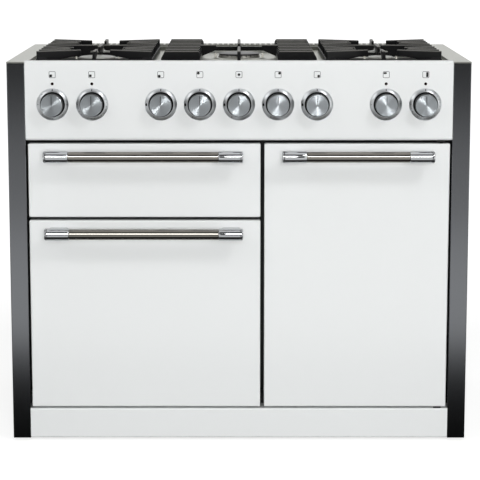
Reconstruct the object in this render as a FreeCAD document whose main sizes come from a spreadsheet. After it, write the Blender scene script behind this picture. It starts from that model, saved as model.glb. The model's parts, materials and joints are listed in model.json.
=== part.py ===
import FreeCAD, Part
import math
import os
import re
import Sketcher

# A free-standing range cooker: two ovens, a pull-out grill and a five-burner gas hob.
# Millimetres. +X is the right of someone facing it, the front looks along -Y, and +Z is up.
# The origin is on the floor, below the middle of the whole.

# Driving sizes, which fill the sheet
SIZES = {
    # cabinet
    "overall_width": 1082,
    "body_depth": 600,
    "floor_gap": 6,
    "side_width": 42,
    "sheet": 1.5,
    "edge_radius": 2,
    "panel_lip": 62,
    "base_height": 44,
    "bearer_width": 30,
    "bearer_inset": 65,
    "frame_sheet": 2,
    "frame_rise": 30,
    # fronts, as seen from the front
    "plinth_height": 72.5,
    "plinth_gap": 4.3,
    "plinth_return": 30,
    "left_door_height": 452,
    "grill_front_height": 174.5,
    "right_door_width": 435,
    "row_gap": 7.4,
    "side_gap": 4.6,
    "middle_gap": 8.8,
    "fascia_height": 187,
    "fascia_top_return": 14,
    "fascia_radius": 8,
    # doors
    "panel_depth": 24,
    "panel_return": 20,
    "front_radius": 4,
    "inner_depth": 18,
    "inner_inset": 22,
    "inner_radius": 5,
    "inner_recess": 3,
    "recess_border": 40,
    "seal_thickness": 8,
    "seal_width": 10,
    "seal_offset": 6,
    "seal_radius": 3,
    "running_gap": 0.3,
    # door pivots
    "pivot_inset": 20,
    "pivot_depth": 12,
    "pin_radius": 4,
    "pin_length": 14,
    "fit_clearance": 0.06,
    "hinge_plate": 3,
    "hinge_height": 18,
    "hinge_foot": 26,
    "boss_width": 16,
    "boss_height": 34,
    # handles
    "handle_standoff": 48,
    "handle_drop": 25.5,
    "handle_margin": 41,
    "bar_radius": 12.6,
    "sleeve_radius": 14,
    "sleeve_length": 57,
    "sleeve_chamfer": 2,
    "post_width": 46,
    "post_height": 18,
    "post_radius": 5,
    # knobs
    "knob_drop": 102,
    "gas_knob_pitch": 91,
    "oven_knob_inset": 110.5,
    "oven_knob_pitch": 92,
    "knob_radius": 26,
    "knob_length": 28,
    "knob_lift": 5,
    "knob_skirt": 2.5,
    "knob_face": 4,
    "knob_draft": 0.8,
    "knob_chamfer": 1,
    "hub_radius": 8,
    "pointer_width": 1.6,
    "pointer_depth": 0.7,
    "pointer_length": 21,
    "pointer_rim": 4,
    "bezel_radius": 37.5,
    "bezel_bore_radius": 29,
    "bezel_rise": 6,
    "bezel_lip": 1.5,
    "bezel_crest": 1.2,
    "stem_radius": 4,
    "stem_hole_radius": 7,
    "stem_length": 30,
    "push_travel": 4,
    "collar_radius": 6.5,
    "collar_length": 3,
    "lens_radius": 3.5,
    "lens_rise": 1.6,
    "lens_drop": 54,
    "lens_flat_radius": 2.2,
    "lens_shoulder": 1,
    "lens_stem_radius": 2.8,
    "lens_stem_length": 3,
    # controls behind the fascia
    "switch_width": 44,
    "switch_depth": 34,
    "tap_setback": 14,
    "tap_width": 30,
    "tap_depth": 46,
    "tap_height": 34,
    "saddle_width": 15,
    "rail_radius": 9,
    "rail_drop": 24,
    "rail_left": 215,
    "services_inset": 69,
    "inlet_radius": 15,
    "inlet_length": 26,
    "inlet_bore_radius": 9.3,
    "inlet_bore_length": 18,
    "pipe_radius": 4,
    "pipe_entry": 9,
    "pipe_bend": 16,
    "rail_bend": 30,
    # hob
    "hob_drop": 3,
    "hob_sheet": 3,
    "hob_tuck": 4,
    "well_depth": 10,
    "well_margin": 6,
    "well_front": 16,
    "well_length": 500,
    "well_wall": 1.5,
    "well_radius": 18,
    "burner_boss_rise": 2.5,
    "burner_boss_margin": 20,
    "burner_boss_slope": 6,
    "vent_setback": 36,
    "vent_depth": 52,
    "vent_inset": 71,
    "vent_overlap": 6,
    "vent_thickness": 3,
    "vent_end": 24,
    "vent_slot_width": 9.5,
    "vent_slot_length": 34,
    "vent_slot_pitch": 14,
    # burners
    "crown_height": 6,
    "crown_margin": 1.5,
    "spigot_radius": 16,
    "spigot_length": 16,
    "spigot_wall": 3,
    "port_pitch": 12,
    "port_width": 2,
    "port_height": 3.5,
    "port_depth": 6,
    "cap_height": 5,
    "cap_crown": 1.5,
    "cap_edge": 1.5,
    "cap_shoulder": 9,
    "cup_radius": 22,
    "cup_height": 34,
    "electrode_radius": 2.5,
    "electrode_margin": 8,
    "electrode_rise": 9,
    "electrode_foot": 20,
    "electrode_foot_radius": 5,
    "front_left_cap": 43,
    "rear_left_cap": 37.5,
    "centre_cap": 50,
    "rear_right_cap": 50,
    "front_right_cap": 30,
    # cast-iron pan supports
    "grate_front": 42,
    "grate_length": 432,
    "grate_rise": 22,
    "grate_rail_width": 9,
    "grate_rail_height": 11,
    "grate_foot": 2,
    "grate_foot_radius": 5,
    "grate_foot_inset": 5.5,
    "grate_bars": 9,
    "burner_setback": 108,
    "grate_side_gap": 22,
    "grate_gap": 20,
    "side_grate_share": 0.5491,
    "comb_length": 92,
    "comb_slant": 9,
    "comb_slant_height": 17,
    "comb_nose": 4,
    "comb_nose_height": 7,
    "fin_width": 8,
    "fin_tip_width": 6,
    "fin_tip_height": 13,
    "fin_reach": 67,
    "fin_spread": 0.55,
    "fin_root_inset": 2,
    "nose_reach": 40,
    "wok_reach": 56,
    "wok_front_height": 5.5,
    "middle_fin_length": 60,
    # ovens and grill compartment
    "left_cavity_width": 430,
    "left_cavity_height": 345,
    "right_cavity_width": 330,
    "right_cavity_height": 530,
    "cavity_rise": 52,
    "cavity_depth": 430,
    "grill_cavity_height": 112,
    "grill_cavity_rise": 33,
    "liner_wall": 1.5,
    "liner_flange": 15,
    "wire_radius": 2.5,
    "ladder_offset": 14,
    "ladder_front": 50,
    "ladder_back": 100,
    "ladder_pitch": 60,
    "ladder_first": 60,
    "ladder_overhang": 25,
    "upright_overrun": 20,
    "peg_offset": 15,
    "rail_wire_radius": 2,
    "weld_depth": 0.5,
    "shelf_clearance": 1,
    "shelf_wires": 9,
    "shelf_front": 22,
    "fan_space": 46,
    "baffle_margin": 30,
    "baffle_slot_width": 9,
    "baffle_slot_inner": 22,
    "baffle_slot_outer": 62,
    "baffle_slots": 12,
    "fan_radius": 70,
    "fan_depth": 26,
    "fan_clearance": 11.5,
    "fan_hub_radius": 14,
    "fan_hub_length": 15.6,
    "fan_shaft_radius": 5,
    "fan_shaft_reach": 16,
    "fan_blades": 8,
    "blade_thickness": 2,
    "blade_inner_radius": 28,
    "blade_shoulder_radius": 56,
    "blade_tip_depth": 21,
    # grill drawer
    "runner_height": 30,
    "runner_width": 12,
    "runner_rise": 26,
    "runner_length": 400,
    "runner_wall": 1.5,
    "slider_width": 12,
    "slider_clearance": 0.4,
    "slider_ledge": 14,
    "ledge_thickness": 3,
    "pan_front": 46,
    "pan_length": 330,
    "pan_depth": 18,
    "pan_wall": 1.5,
    "pan_rim": 10,
    "trivet_bars": 11,
    "element_radius": 3.5,
    "element_drop": 14,
    "element_pitch": 52,
    "element_runs": 6,
    "element_front": 50,
    "element_length": 300,
    "hanger_offset": 100,
    # feet and rear services
    "foot_radius": 20,
    "foot_height": 12,
    "foot_neck_radius": 10,
    "foot_shoulder": 6,
    "foot_inset": 60,
    "foot_setback": 90,
    "stud_radius": 5,
    "stud_length": 18,
    "cable_entry_radius": 12,
    "cable_entry_height": 200,
    "restraint_hole_radius": 3.25,
    "restraint_spacing": 120,
    "restraint_height": 700,
    "louvre_width": 8,
    "louvre_height": 70,
    "louvre_pitch": 24,
    "louvre_count": 16,
    "louvre_drop": 40,
    # how far a cutting solid runs past the face it opens
    "cut_over": 2,
}

# Places worked out from the sizes
PLACES = {
    "face_y": "handle_reach / 2 - body_depth / 2",
    "rear_y": "face_y + body_depth",
    "handle_reach": "handle_standoff + sleeve_radius",
    "half_width": "overall_width / 2",
    "inner_half": "half_width - side_width",
    "plinth_top": "floor_gap + plinth_height",
    "doors_bottom": "plinth_top + plinth_gap",
    "left_door_top": "doors_bottom + left_door_height",
    "grill_bottom": "left_door_top + row_gap",
    "grill_top": "grill_bottom + grill_front_height",
    "fascia_bottom": "grill_top + row_gap",
    "fascia_top": "fascia_bottom + fascia_height",
    "rim_top": "fascia_top - hob_drop",
    "rim_bottom": "rim_top - hob_sheet",
    "left_door_left": "side_gap - inner_half",
    "right_door_right": "inner_half - side_gap",
    "right_door_left": "right_door_right - right_door_width",
    "left_door_right": "right_door_left - middle_gap",
    "panel_back": "face_y + panel_depth",
    "inner_back": "panel_back + inner_depth",
    "frame_front": "inner_back + running_gap + seal_thickness",
    "frame_back": "frame_front + frame_sheet",
    "cavity_back": "frame_back + cavity_depth",
    "oven_floor": "doors_bottom + cavity_rise",
    "grill_floor": "grill_bottom + grill_cavity_rise",
    "left_centre": "(left_door_left + left_door_right) / 2",
    "right_centre": "(right_door_left + right_door_right) / 2",
    "knob_z": "fascia_top - knob_drop",
    "lens_z": "fascia_top - lens_drop",
    "well_floor": "rim_top - well_depth",
    "well_under": "well_floor - well_wall",
    "well_start": "face_y + well_front",
    "boss_top": "well_floor + burner_boss_rise",
    "crown_top": "boss_top + crown_height",
    "oven_knob_centre": "inner_half - oven_knob_inset",
    "inlet_offset": "inner_half - services_inset",
    "vent_half_width": "half_width - vent_inset",
    "side_grate_width": "inner_half * side_grate_share",
    "side_grate_centre": "inner_half - grate_side_gap - side_grate_width / 2",
    "centre_grate_width": "2 * (inner_half - grate_side_gap - side_grate_width - grate_gap)",
    "grate_start": "face_y + grate_front",
    "grate_end": "grate_start + grate_length",
    "grate_middle": "grate_start + grate_length / 2",
    "grate_pitch": "(grate_length - fin_width) / (grate_bars - 1)",
    "grate_top": "rim_top + grate_rise",
    "grate_under": "well_floor + running_gap + grate_foot",
    "burner_front_y": "grate_start + burner_setback",
    "burner_rear_y": "grate_end - burner_setback",
    "rail_y": "face_y + tap_setback + tap_depth + rail_radius",
    "rail_z": "knob_z - rail_drop",
    "pipe_z": "well_under - cup_height + pipe_entry",
    "runner_floor": "grill_floor + runner_rise",
    "ledge_top": "runner_floor + runner_wall + slider_clearance + ledge_thickness",
    "element_z": "grill_floor + grill_cavity_height - element_drop",
    "fan_back": "cavity_back - fan_clearance",
}

WORD = re.compile(r"[a-z_][a-z_0-9]*")
TOLERANCE = 1e-6
AXES = {
    "right": FreeCAD.Rotation(FreeCAD.Vector(0, 1, 0), 90),
    "back": FreeCAD.Rotation(FreeCAD.Vector(1, 0, 0), -90),
    "front": FreeCAD.Rotation(FreeCAD.Vector(1, 0, 0), 90),
    "up": FreeCAD.Rotation(),
    "down": FreeCAD.Rotation(FreeCAD.Vector(1, 0, 0), 180),
}

doc = FreeCAD.newDocument("RangeCooker")
sheet = doc.addObject("Spreadsheet::Sheet", "Sizes")
for row, (alias, size) in enumerate(SIZES.items(), 1):
    sheet.set(f"A{row}", alias)
    sheet.set(f"B{row}", str(size))
    sheet.setAlias(f"B{row}", alias)
doc.recompute()
nodes = []


def formula(text):
    """Spell out the places until only cells of the sheet are left."""
    text = str(text)
    spelled = None
    while spelled != text:
        spelled = text
        text = WORD.sub(lambda word: f"({PLACES[word[0]]})" if word[0] in PLACES else word[0], text)
    return WORD.sub(lambda word: f"Sizes.{word[0]}" if word[0] in SIZES else word[0], text)


def value(text):
    return float(sheet.evalExpression(formula(text)))


def bind(piece, **properties):
    for name, text in properties.items():
        piece.setExpression(name, formula(text))
    return piece


def place(piece, at, turn=None):
    """Put a piece at a point given by formulas, turned by a fixed rotation."""
    piece.Placement = FreeCAD.Placement(FreeCAD.Vector(), turn or FreeCAD.Rotation())
    for axis, text in zip("xyz", at):
        piece.setExpression(f"Placement.Base.{axis}", formula(text))
    return piece


def block(name, x, y, z):
    """A box between two places on each axis."""
    piece = doc.addObject("Part::Box", name)
    spans = {
        side: f"({high}) - ({low})"
        for side, (low, high) in zip(("Length", "Width", "Height"), (x, y, z))
    }
    return place(bind(piece, **spans), (x[0], y[0], z[0]))


def rod(name, radius, along, start, length):
    piece = bind(doc.addObject("Part::Cylinder", name), Radius=radius, Height=length)
    return place(piece, start, AXES[along])


def join(name, pieces):
    piece = doc.addObject("Part::MultiFuse", name)
    piece.Shapes = pieces
    piece.Refine = True
    return piece


def cut(name, base, tools):
    piece = doc.addObject("Part::Cut", name)
    piece.Base = base
    piece.Tool = tools[0] if len(tools) == 1 else join(name + "_tools", tools)
    return piece


def group(name, pieces):
    piece = doc.addObject("Part::Compound", name)
    piece.Links = pieces
    return piece


def rounded(name, base, radius, pick):
    """Round the edges of a solid that the test picks."""
    doc.recompute()
    piece = doc.addObject("Part::Fillet", name)
    piece.Base = base
    size = value(radius)
    piece.Edges = [(n, size, size) for n, edge in enumerate(base.Shape.Edges, 1) if pick(edge)]
    return piece


def runs_along(edge, axis):
    spans = (edge.BoundBox.XLength, edge.BoundBox.YLength, edge.BoundBox.ZLength)
    return max(spans) == spans["xyz".index(axis)]


def bent_tube(name, route, radius, bend):
    """A round bar along straight runs, joined by arcs of one bend radius."""
    points = [FreeCAD.Vector(*(value(text) for text in point)) for point in route]
    edges = []
    start = points[0]
    for before, corner, after in zip(points, points[1:], points[2:]):
        into = (corner - before).normalize()
        out = (after - corner).normalize()
        half = into.getAngle(out) / 2
        reach = value(bend) * math.tan(half)
        first, last = corner - into * reach, corner + out * reach
        inward = (out - into).normalize()
        middle = corner + inward * (value(bend) / math.cos(half) - value(bend))
        edges.append(Part.LineSegment(start, first).toShape())
        edges.append(Part.Arc(first, middle, last).toShape())
        start = last
    edges.append(Part.LineSegment(start, points[-1]).toShape())
    ring = Part.Wire(Part.makeCircle(value(radius), points[0], points[1] - points[0]))
    piece = doc.addObject("Part::Feature", name)
    piece.Shape = Part.Wire(edges).makePipeShell([ring], True, True)
    return piece


def sketch_loop(body, name, plane, points):
    """A closed sketch through points whose coordinates follow formulas."""
    sketch = body.newObject("Sketcher::SketchObject", name)
    support = [item for item in body.Origin.OriginFeatures if item.Role == plane]
    sketch.AttachmentSupport = [(support[0], "")]
    sketch.MapMode = "FlatFace"
    corners = [FreeCAD.Vector(value(x), value(y), 0) for x, y in points]
    for start, end in zip(corners, corners[1:] + corners[:1]):
        sketch.addGeometry(Part.LineSegment(start, end))
    for n, (texts, corner) in enumerate(zip(points, corners)):
        sketch.addConstraint(Sketcher.Constraint("Coincident", n - 1 if n else len(points) - 1, 2, n, 1))
        for kind, axis, text, number in zip(("DistanceX", "DistanceY"), (-2, -1), texts, corner):
            if number == 0:
                sketch.addConstraint(Sketcher.Constraint("PointOnObject", n, 1, axis))
                continue
            made = sketch.addConstraint(Sketcher.Constraint(kind, -1, 1, n, 1, number))
            sketch.setExpression(f"Constraints[{made}]", formula(text))
    return sketch


def turned(name, profile, along, at):
    """A solid of revolution from (radius, distance along the axis) points."""
    body = doc.addObject("PartDesign::Body", name)
    sketch = sketch_loop(body, name + "_profile", "XZ_Plane", profile)
    spin = body.newObject("PartDesign::Revolution", name + "_turn")
    spin.Profile = sketch
    spin.ReferenceAxis = (sketch, ["V_Axis"])
    spin.Angle = 360
    sketch.Visibility = False
    return place(body, at, AXES[along])


def padded(name, points, plane, length, at):
    """A body padded from a closed outline on one of its own planes."""
    body = doc.addObject("PartDesign::Body", name)
    sketch = sketch_loop(body, name + "_outline", plane, points)
    pad = body.newObject("PartDesign::Pad", name + "_pad")
    pad.Profile = sketch
    bind(pad, Length=length)
    return place(body, at)


def pocket(body, name, points, plane, length):
    sketch = sketch_loop(body, name + "_outline", plane, points)
    feature = body.newObject("PartDesign::Pocket", name)
    feature.Profile = sketch
    feature.Midplane = True
    bind(feature, Length=length)
    return feature


def pattern(body, kind, name, feature, axis, **settings):
    repeat = body.newObject(kind, name)
    repeat.Originals = [feature]
    role = [item for item in body.Origin.OriginFeatures if item.Role == axis]
    if kind == "PartDesign::PolarPattern":
        repeat.Axis = (role[0], [""])
    else:
        repeat.Direction = (role[0], [""])
    bind(repeat, **settings)
    body.Tip = repeat
    return repeat


def node(label, piece):
    """Name a finished sub-part, which is written to a file of that name."""
    piece.Label = label
    nodes.append(piece)
    return piece


def corners(x, y):
    """The four corners of a rectangle, in order round it."""
    return [(x[0], y[0]), (x[1], y[0]), (x[1], y[1]), (x[0], y[1])]


def centred(middle, width):
    return f"{middle} - ({width}) / 2", f"{middle} + ({width}) / 2"


def shrunk(span, inset):
    return f"{span[0]} + {inset}", f"{span[1]} - ({inset})"


def grown(span, outset):
    return f"{span[0]} - ({outset})", f"{span[1]} + {outset}"


# Spans that several pieces share
WHOLE_X = ("-half_width", "half_width")
INNER_X = ("-inner_half", "inner_half")
VENT_X = ("-vent_half_width", "vent_half_width")
LEFT_X = ("left_door_left", "left_door_right")
RIGHT_X = ("right_door_left", "right_door_right")
LEFT_DOOR_Z = ("doors_bottom", "left_door_top")
RIGHT_DOOR_Z = ("doors_bottom", "grill_top")
GRILL_Z = ("grill_bottom", "grill_top")
LEFT_CAVITY_X = centred("left_centre", "left_cavity_width")
RIGHT_CAVITY_X = centred("right_centre", "right_cavity_width")
CAVITIES = {
    "left_oven": (LEFT_CAVITY_X, ("oven_floor", "oven_floor + left_cavity_height")),
    "right_oven": (RIGHT_CAVITY_X, ("oven_floor", "oven_floor + right_cavity_height")),
    "grill": (LEFT_CAVITY_X, ("grill_floor", "grill_floor + grill_cavity_height")),
}
CENTRES = {"left_oven": "left_centre", "right_oven": "right_centre"}
BURNERS = {
    "front_left": ("-side_grate_centre", "burner_front_y", "front_left_cap"),
    "rear_left": ("-side_grate_centre", "burner_rear_y", "rear_left_cap"),
    "centre": ("0", "grate_middle", "centre_cap"),
    "rear_right": ("side_grate_centre", "burner_rear_y", "rear_right_cap"),
    "front_right": ("side_grate_centre", "burner_front_y", "front_right_cap"),
}
GAS_KNOBS = {
    "front_left": "-2 * gas_knob_pitch",
    "rear_left": "-gas_knob_pitch",
    "centre": "0",
    "rear_right": "gas_knob_pitch",
    "front_right": "2 * gas_knob_pitch",
}
OVEN_KNOBS = {
    "left_oven_mode": "-oven_knob_centre - oven_knob_pitch / 2",
    "left_oven_heat": "-oven_knob_centre + oven_knob_pitch / 2",
    "grill_heat": "oven_knob_centre - oven_knob_pitch / 2",
    "right_oven_heat": "oven_knob_centre + oven_knob_pitch / 2",
}


def base_frame():
    """Pressed floor with a front flange and two bearers under each oven."""
    floor = ("base_height", "base_height + frame_sheet")
    pieces = [
        block("base_floor", INNER_X, ("frame_front", "rear_y - sheet"), floor),
        block("base_flange", INNER_X, ("frame_front", "frame_back"), ("base_height", "plinth_top")),
    ]
    for oven in CENTRES:
        low, high = shrunk(CAVITIES[oven][0], "bearer_inset")
        for side, middle in (("left", low), ("right", high)):
            name = f"bearer_{oven}_{side}"
            x = centred(middle, "bearer_width")
            y = ("frame_back + liner_flange", "cavity_back")
            top = "oven_floor - liner_wall"
            bar = block(f"{name}_bar", x, y, ("base_height + frame_sheet / 2", top))
            trough = block(
                f"{name}_trough", shrunk(x, "frame_sheet"), grown(y, "cut_over"),
                ("base_height + frame_sheet", f"{top} - frame_sheet"),
            )
            pieces.append(cut(name, bar, [trough]))
    holes = []
    for n, (x, y) in enumerate(foot_places()):
        start = (x, y, "base_height - cut_over")
        deep = "frame_sheet + 2 * cut_over"
        holes.append(rod(f"base_hole_{n}", "stud_radius + running_gap", "up", start, deep))
    node("base_frame", cut("base_frame", join("base_weldment", pieces), holes))


def foot_places():
    across = ("foot_inset - inner_half", "inner_half - foot_inset")
    depth = ("face_y + foot_setback", "rear_y - foot_inset")
    return [(x, y) for x in across for y in depth]


def levelling_feet():
    profile = [
        ("0", "0"),
        ("foot_radius - edge_radius", "0"),
        ("foot_radius", "edge_radius"),
        ("foot_radius", "foot_shoulder"),
        ("foot_neck_radius", "foot_height"),
        ("foot_neck_radius", "base_height"),
        ("stud_radius", "base_height"),
        ("stud_radius", "base_height + stud_length"),
        ("0", "base_height + stud_length"),
    ]
    feet = [turned(f"foot_{n}", profile, "up", (*at, "0")) for n, at in enumerate(foot_places())]
    node("levelling_feet", group("levelling_feet", feet))


def side_panels():
    """Folded side skins: a broad front return with a lip, and a narrow rear one."""
    panels = []
    for side, x in (("left", ("-half_width", "-inner_half")), ("right", ("inner_half", "half_width"))):
        outer = block(f"{side}_skin", x, ("face_y", "rear_y"), ("floor_gap", "rim_bottom"))
        front = value("face_y")
        skin = rounded(
            f"{side}_skin_round", outer, "edge_radius",
            lambda edge: runs_along(edge, "z") and abs(edge.BoundBox.YMin - front) < TOLERANCE,
        )
        through = ("floor_gap - cut_over", "rim_bottom + cut_over")
        hollow = block(f"{side}_hollow", shrunk(x, "sheet"), ("face_y + sheet", "rear_y - sheet"), through)
        inner = ("-inner_half - sheet - cut_over", "-inner_half + cut_over")
        if side == "right":
            inner = ("inner_half - cut_over", "inner_half + sheet + cut_over")
        mouth = block(f"{side}_mouth", inner, ("face_y + panel_lip", "rear_y - sheet"), through)
        panels.append(cut(f"{side}_panel", skin, [hollow, mouth]))
    node("side_panels", group("side_panels", panels))


def folded_front(name, z, fold, upper, lower):
    """A C-shaped front skin with rounded fold lines, its top and bottom returns cut to length."""
    outer = block(f"{name}_outer", INNER_X, ("face_y", "frame_front"), z)
    front = value("face_y")
    skin = rounded(
        f"{name}_round", outer, fold,
        lambda edge: runs_along(edge, "x") and abs(edge.BoundBox.YMin - front) < TOLERANCE,
    )
    ends = grown(INNER_X, "cut_over")
    hollow = block(f"{name}_hollow", ends, ("face_y + sheet", "frame_front + cut_over"), shrunk(z, "sheet"))
    inside = value("face_y + sheet")
    hollow = rounded(
        f"{name}_hollow_round", hollow, f"{fold} - sheet",
        lambda edge: runs_along(edge, "x") and abs(edge.BoundBox.YMin - inside) < TOLERANCE,
    )
    tools = [hollow]
    if upper:
        span = (f"{z[1]} - sheet - cut_over", f"{z[1]} + cut_over")
        tools.append(block(f"{name}_top_trim", ends, (f"face_y + {upper}", "frame_front + cut_over"), span))
    if lower:
        span = (f"{z[0]} - cut_over", f"{z[0]} + sheet + cut_over")
        tools.append(block(f"{name}_foot_trim", ends, (f"face_y + {lower}", "frame_front + cut_over"), span))
    return skin, tools


def plinth():
    skin, tools = folded_front("plinth", ("floor_gap", "plinth_top"), "front_radius", None, "plinth_return")
    node("plinth", cut("plinth", skin, tools))


def control_fascia():
    z = ("fascia_bottom", "fascia_top")
    skin, tools = folded_front("fascia", z, "fascia_radius", "fascia_top_return", None)
    depth = "sheet + 2 * cut_over"
    for name, x in (GAS_KNOBS | OVEN_KNOBS).items():
        start = (x, "face_y - cut_over", "knob_z")
        tools.append(rod(f"fascia_hole_{name}", "stem_hole_radius", "back", start, depth))
    for name, x in OVEN_KNOBS.items():
        start = (x, "face_y - cut_over", "lens_z")
        radius = "lens_stem_radius + fit_clearance"
        tools.append(rod(f"fascia_lens_{name}", radius, "back", start, depth))
    node("control_fascia", cut("control_fascia", skin, tools))


def front_frame():
    z = ("plinth_top", "fascia_bottom + frame_rise")
    plate = block("frame_plate", INNER_X, ("frame_front", "frame_back"), z)
    through = ("frame_front - cut_over", "frame_back + cut_over")
    mouths = [block(f"frame_mouth_{name}", x, through, z) for name, (x, z) in CAVITIES.items()]
    node("front_frame", cut("front_frame", plate, mouths))


def rear_panel():
    """Flat back with a row of air slots and the holes for the services."""
    back = ("rear_y - sheet", "rear_y")
    through = grown(back, "cut_over")
    plate = block("rear_plate", INNER_X, back, ("base_height", "rim_bottom"))
    louvre_z = ("rim_bottom - louvre_drop - louvre_height", "rim_bottom - louvre_drop")
    tools = []
    for n in range(SIZES["louvre_count"]):
        middle = f"({n} - (louvre_count - 1) / 2) * louvre_pitch"
        tools.append(block(f"louvre_{n}", centred(middle, "louvre_width"), through, louvre_z))
    depth = "sheet + 2 * cut_over"
    holes = {
        "inlet": ("inlet_radius + running_gap", "inlet_offset", "rail_z"),
        "cable": ("cable_entry_radius", "-inlet_offset", "cable_entry_height"),
        "restraint_left": ("restraint_hole_radius", "-restraint_spacing / 2", "restraint_height"),
        "restraint_right": ("restraint_hole_radius", "restraint_spacing / 2", "restraint_height"),
    }
    for name, (radius, x, z) in holes.items():
        tools.append(rod(f"rear_hole_{name}", radius, "back", (x, through[0], z), depth))
    node("rear_panel", cut("rear_panel", plate, tools))


def hob_tray():
    """Pressed stainless top: a rim over the side panels, a well, and a boss under each burner."""
    well_x = shrunk(INNER_X, "well_margin")
    well_y = ("well_start", "well_start + well_length")
    tub_x, tub_y = grown(well_x, "well_wall"), grown(well_y, "well_wall")
    rim = block("hob_rim", WHOLE_X, ("face_y", "rear_y"), ("rim_bottom", "rim_top"))
    tub = block("hob_tub", tub_x, tub_y, ("well_under", "rim_bottom"))
    tub = rounded("hob_tub_round", tub, "well_radius + well_wall", lambda edge: runs_along(edge, "z"))
    well = block("hob_well", well_x, well_y, ("well_floor", "rim_top + cut_over"))
    well = rounded("hob_well_round", well, "well_radius", lambda edge: runs_along(edge, "z"))
    notch = block(
        "hob_notch", INNER_X, ("face_y - cut_over", "face_y + hob_tuck"),
        ("rim_bottom - cut_over", "rim_top + cut_over"),
    )
    vent = block(
        "hob_vent", shrunk(VENT_X, "vent_overlap"),
        shrunk(centred("rear_y - vent_setback", "vent_depth"), "vent_overlap"),
        ("rim_bottom - cut_over", "rim_top + cut_over"),
    )
    shell = cut("hob_shell", join("hob_pressing", [rim, tub]), [well, notch, vent])
    bosses = []
    holes = []
    for name, (x, y, cap) in BURNERS.items():
        boss = bind(
            doc.addObject("Part::Cone", f"hob_boss_{name}"),
            Radius1=f"{cap} + burner_boss_margin",
            Radius2=f"{cap} + burner_boss_margin - burner_boss_slope",
            Height="burner_boss_rise",
        )
        bosses.append(place(boss, (x, y, "well_floor")))
        deep = "burner_boss_rise + well_wall + 2 * cut_over"
        start = (x, y, "well_under - cut_over")
        holes.append(rod(f"hob_hole_{name}", "spigot_radius + running_gap", "up", start, deep))
        for side, at in electrode_places(name):
            start = (*at, "well_under - cut_over")
            radius = "electrode_radius + fit_clearance"
            holes.append(rod(f"hob_hole_{name}_{side}", radius, "up", start, deep))
    node("hob_tray", cut("hob_tray", join("hob_bossed", [shell] + bosses), holes))


def electrode_places(burner):
    x, y, cap = BURNERS[burner]
    return [
        ("spark", (f"{x} - {cap} - electrode_margin", y)),
        ("sense", (f"{x} + {cap} + electrode_margin", y)),
    ]


def rear_vent_trim():
    """Flat cover over the flue outlet with one row of slots."""
    outline = corners(VENT_X, centred("0", "vent_depth"))
    at = ("0", "rear_y - vent_setback", "rim_top")
    body = padded("rear_vent_trim", outline, "XY_Plane", "vent_thickness", at)
    room = value("2 * (vent_half_width - vent_end) - vent_slot_width")
    count = 1 + int(room // SIZES["vent_slot_pitch"])
    length = f"{count - 1} * vent_slot_pitch"
    slot_x = centred(f"-{length} / 2", "vent_slot_width")
    slot_y = centred("0", "vent_slot_length")
    slot = pocket(body, "vent_slot", corners(slot_x, slot_y), "XY_Plane", "2 * (vent_thickness + cut_over)")
    row = pattern(body, "PartDesign::LinearPattern", "vent_row", slot, "X_Axis", Length=length)
    row.Occurrences = count
    node("rear_vent_trim", body)


def burner_parts():
    """Cup and feed pipe below the tray; slotted crown, cap and electrodes above it."""
    crowns, caps, electrodes, feeds = [], [], [], []
    for name, (x, y, cap) in BURNERS.items():
        crown = turned(
            f"crown_{name}",
            [
                ("spigot_radius - spigot_wall", "-spigot_length"),
                ("spigot_radius", "-spigot_length"),
                ("spigot_radius", "0"),
                (f"{cap} + crown_margin", "0"),
                (f"{cap} - crown_margin", "crown_height"),
                ("spigot_radius - spigot_wall", "crown_height"),
            ],
            "up", (x, y, "boss_top"),
        )
        port_x = (f"{cap} - port_depth", f"{cap} + 2 * crown_margin")
        port_z = ("crown_height - port_height", "crown_height + cut_over")
        port = pocket(crown, f"port_{name}", corners(port_x, port_z), "XZ_Plane", "port_width")
        ring = pattern(crown, "PartDesign::PolarPattern", f"ports_{name}", port, "Z_Axis", Angle="360")
        ring.Occurrences = round(2 * math.pi * value(cap) / SIZES["port_pitch"])
        crowns.append(crown)
        caps.append(
            turned(
                f"cap_{name}",
                [
                    ("0", "0"),
                    (f"{cap} - cap_edge", "0"),
                    (cap, "cap_edge"),
                    (cap, "cap_height - cap_crown - cap_edge"),
                    (f"{cap} - cap_edge", "cap_height - cap_crown"),
                    (f"{cap} - cap_shoulder", "cap_height"),
                    ("0", "cap_height"),
                ],
                "up", (x, y, "crown_top"),
            )
        )
        for side, at in electrode_places(name):
            start = (*at, "well_under - electrode_foot")
            tall = "electrode_foot + well_wall + burner_boss_rise + electrode_rise"
            pin = rod(f"pin_{name}_{side}", "electrode_radius", "up", start, tall)
            foot = rod(f"pin_foot_{name}_{side}", "electrode_foot_radius", "up", start, "electrode_foot")
            electrodes.append(join(f"electrode_{name}_{side}", [pin, foot]))
        feeds.append(burner_feed(name, x, y))
    node("burner_crowns", group("burner_crowns", crowns))
    node("burner_caps", group("burner_caps", caps))
    node("burner_electrodes", group("burner_electrodes", electrodes))
    node("burner_feeds", group("burner_feeds", feeds))


def burner_feed(name, x, y):
    """Cup hung under the tray, with its pipe: up from the tap, then across into the cup's side."""
    cup = rod(f"cup_{name}", "cup_radius", "up", (x, y, "well_under - cup_height"), "cup_height")
    socket = rod(
        f"cup_socket_{name}", "spigot_radius + running_gap", "up",
        (x, y, "well_under - spigot_length"), "spigot_length + cut_over",
    )
    tap_x = GAS_KNOBS[name]
    tap_y = "face_y + tap_setback + tap_depth / 2"
    route = [(tap_x, tap_y, "knob_z + tap_height / 2"), (tap_x, tap_y, "pipe_z"), (x, y, "pipe_z")]
    pieces = [
        cut(f"cup_bored_{name}", cup, [socket]),
        bent_tube(f"pipe_{name}", route, "pipe_radius", "pipe_bend"),
    ]
    return join(f"feed_{name}", pieces)


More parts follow.
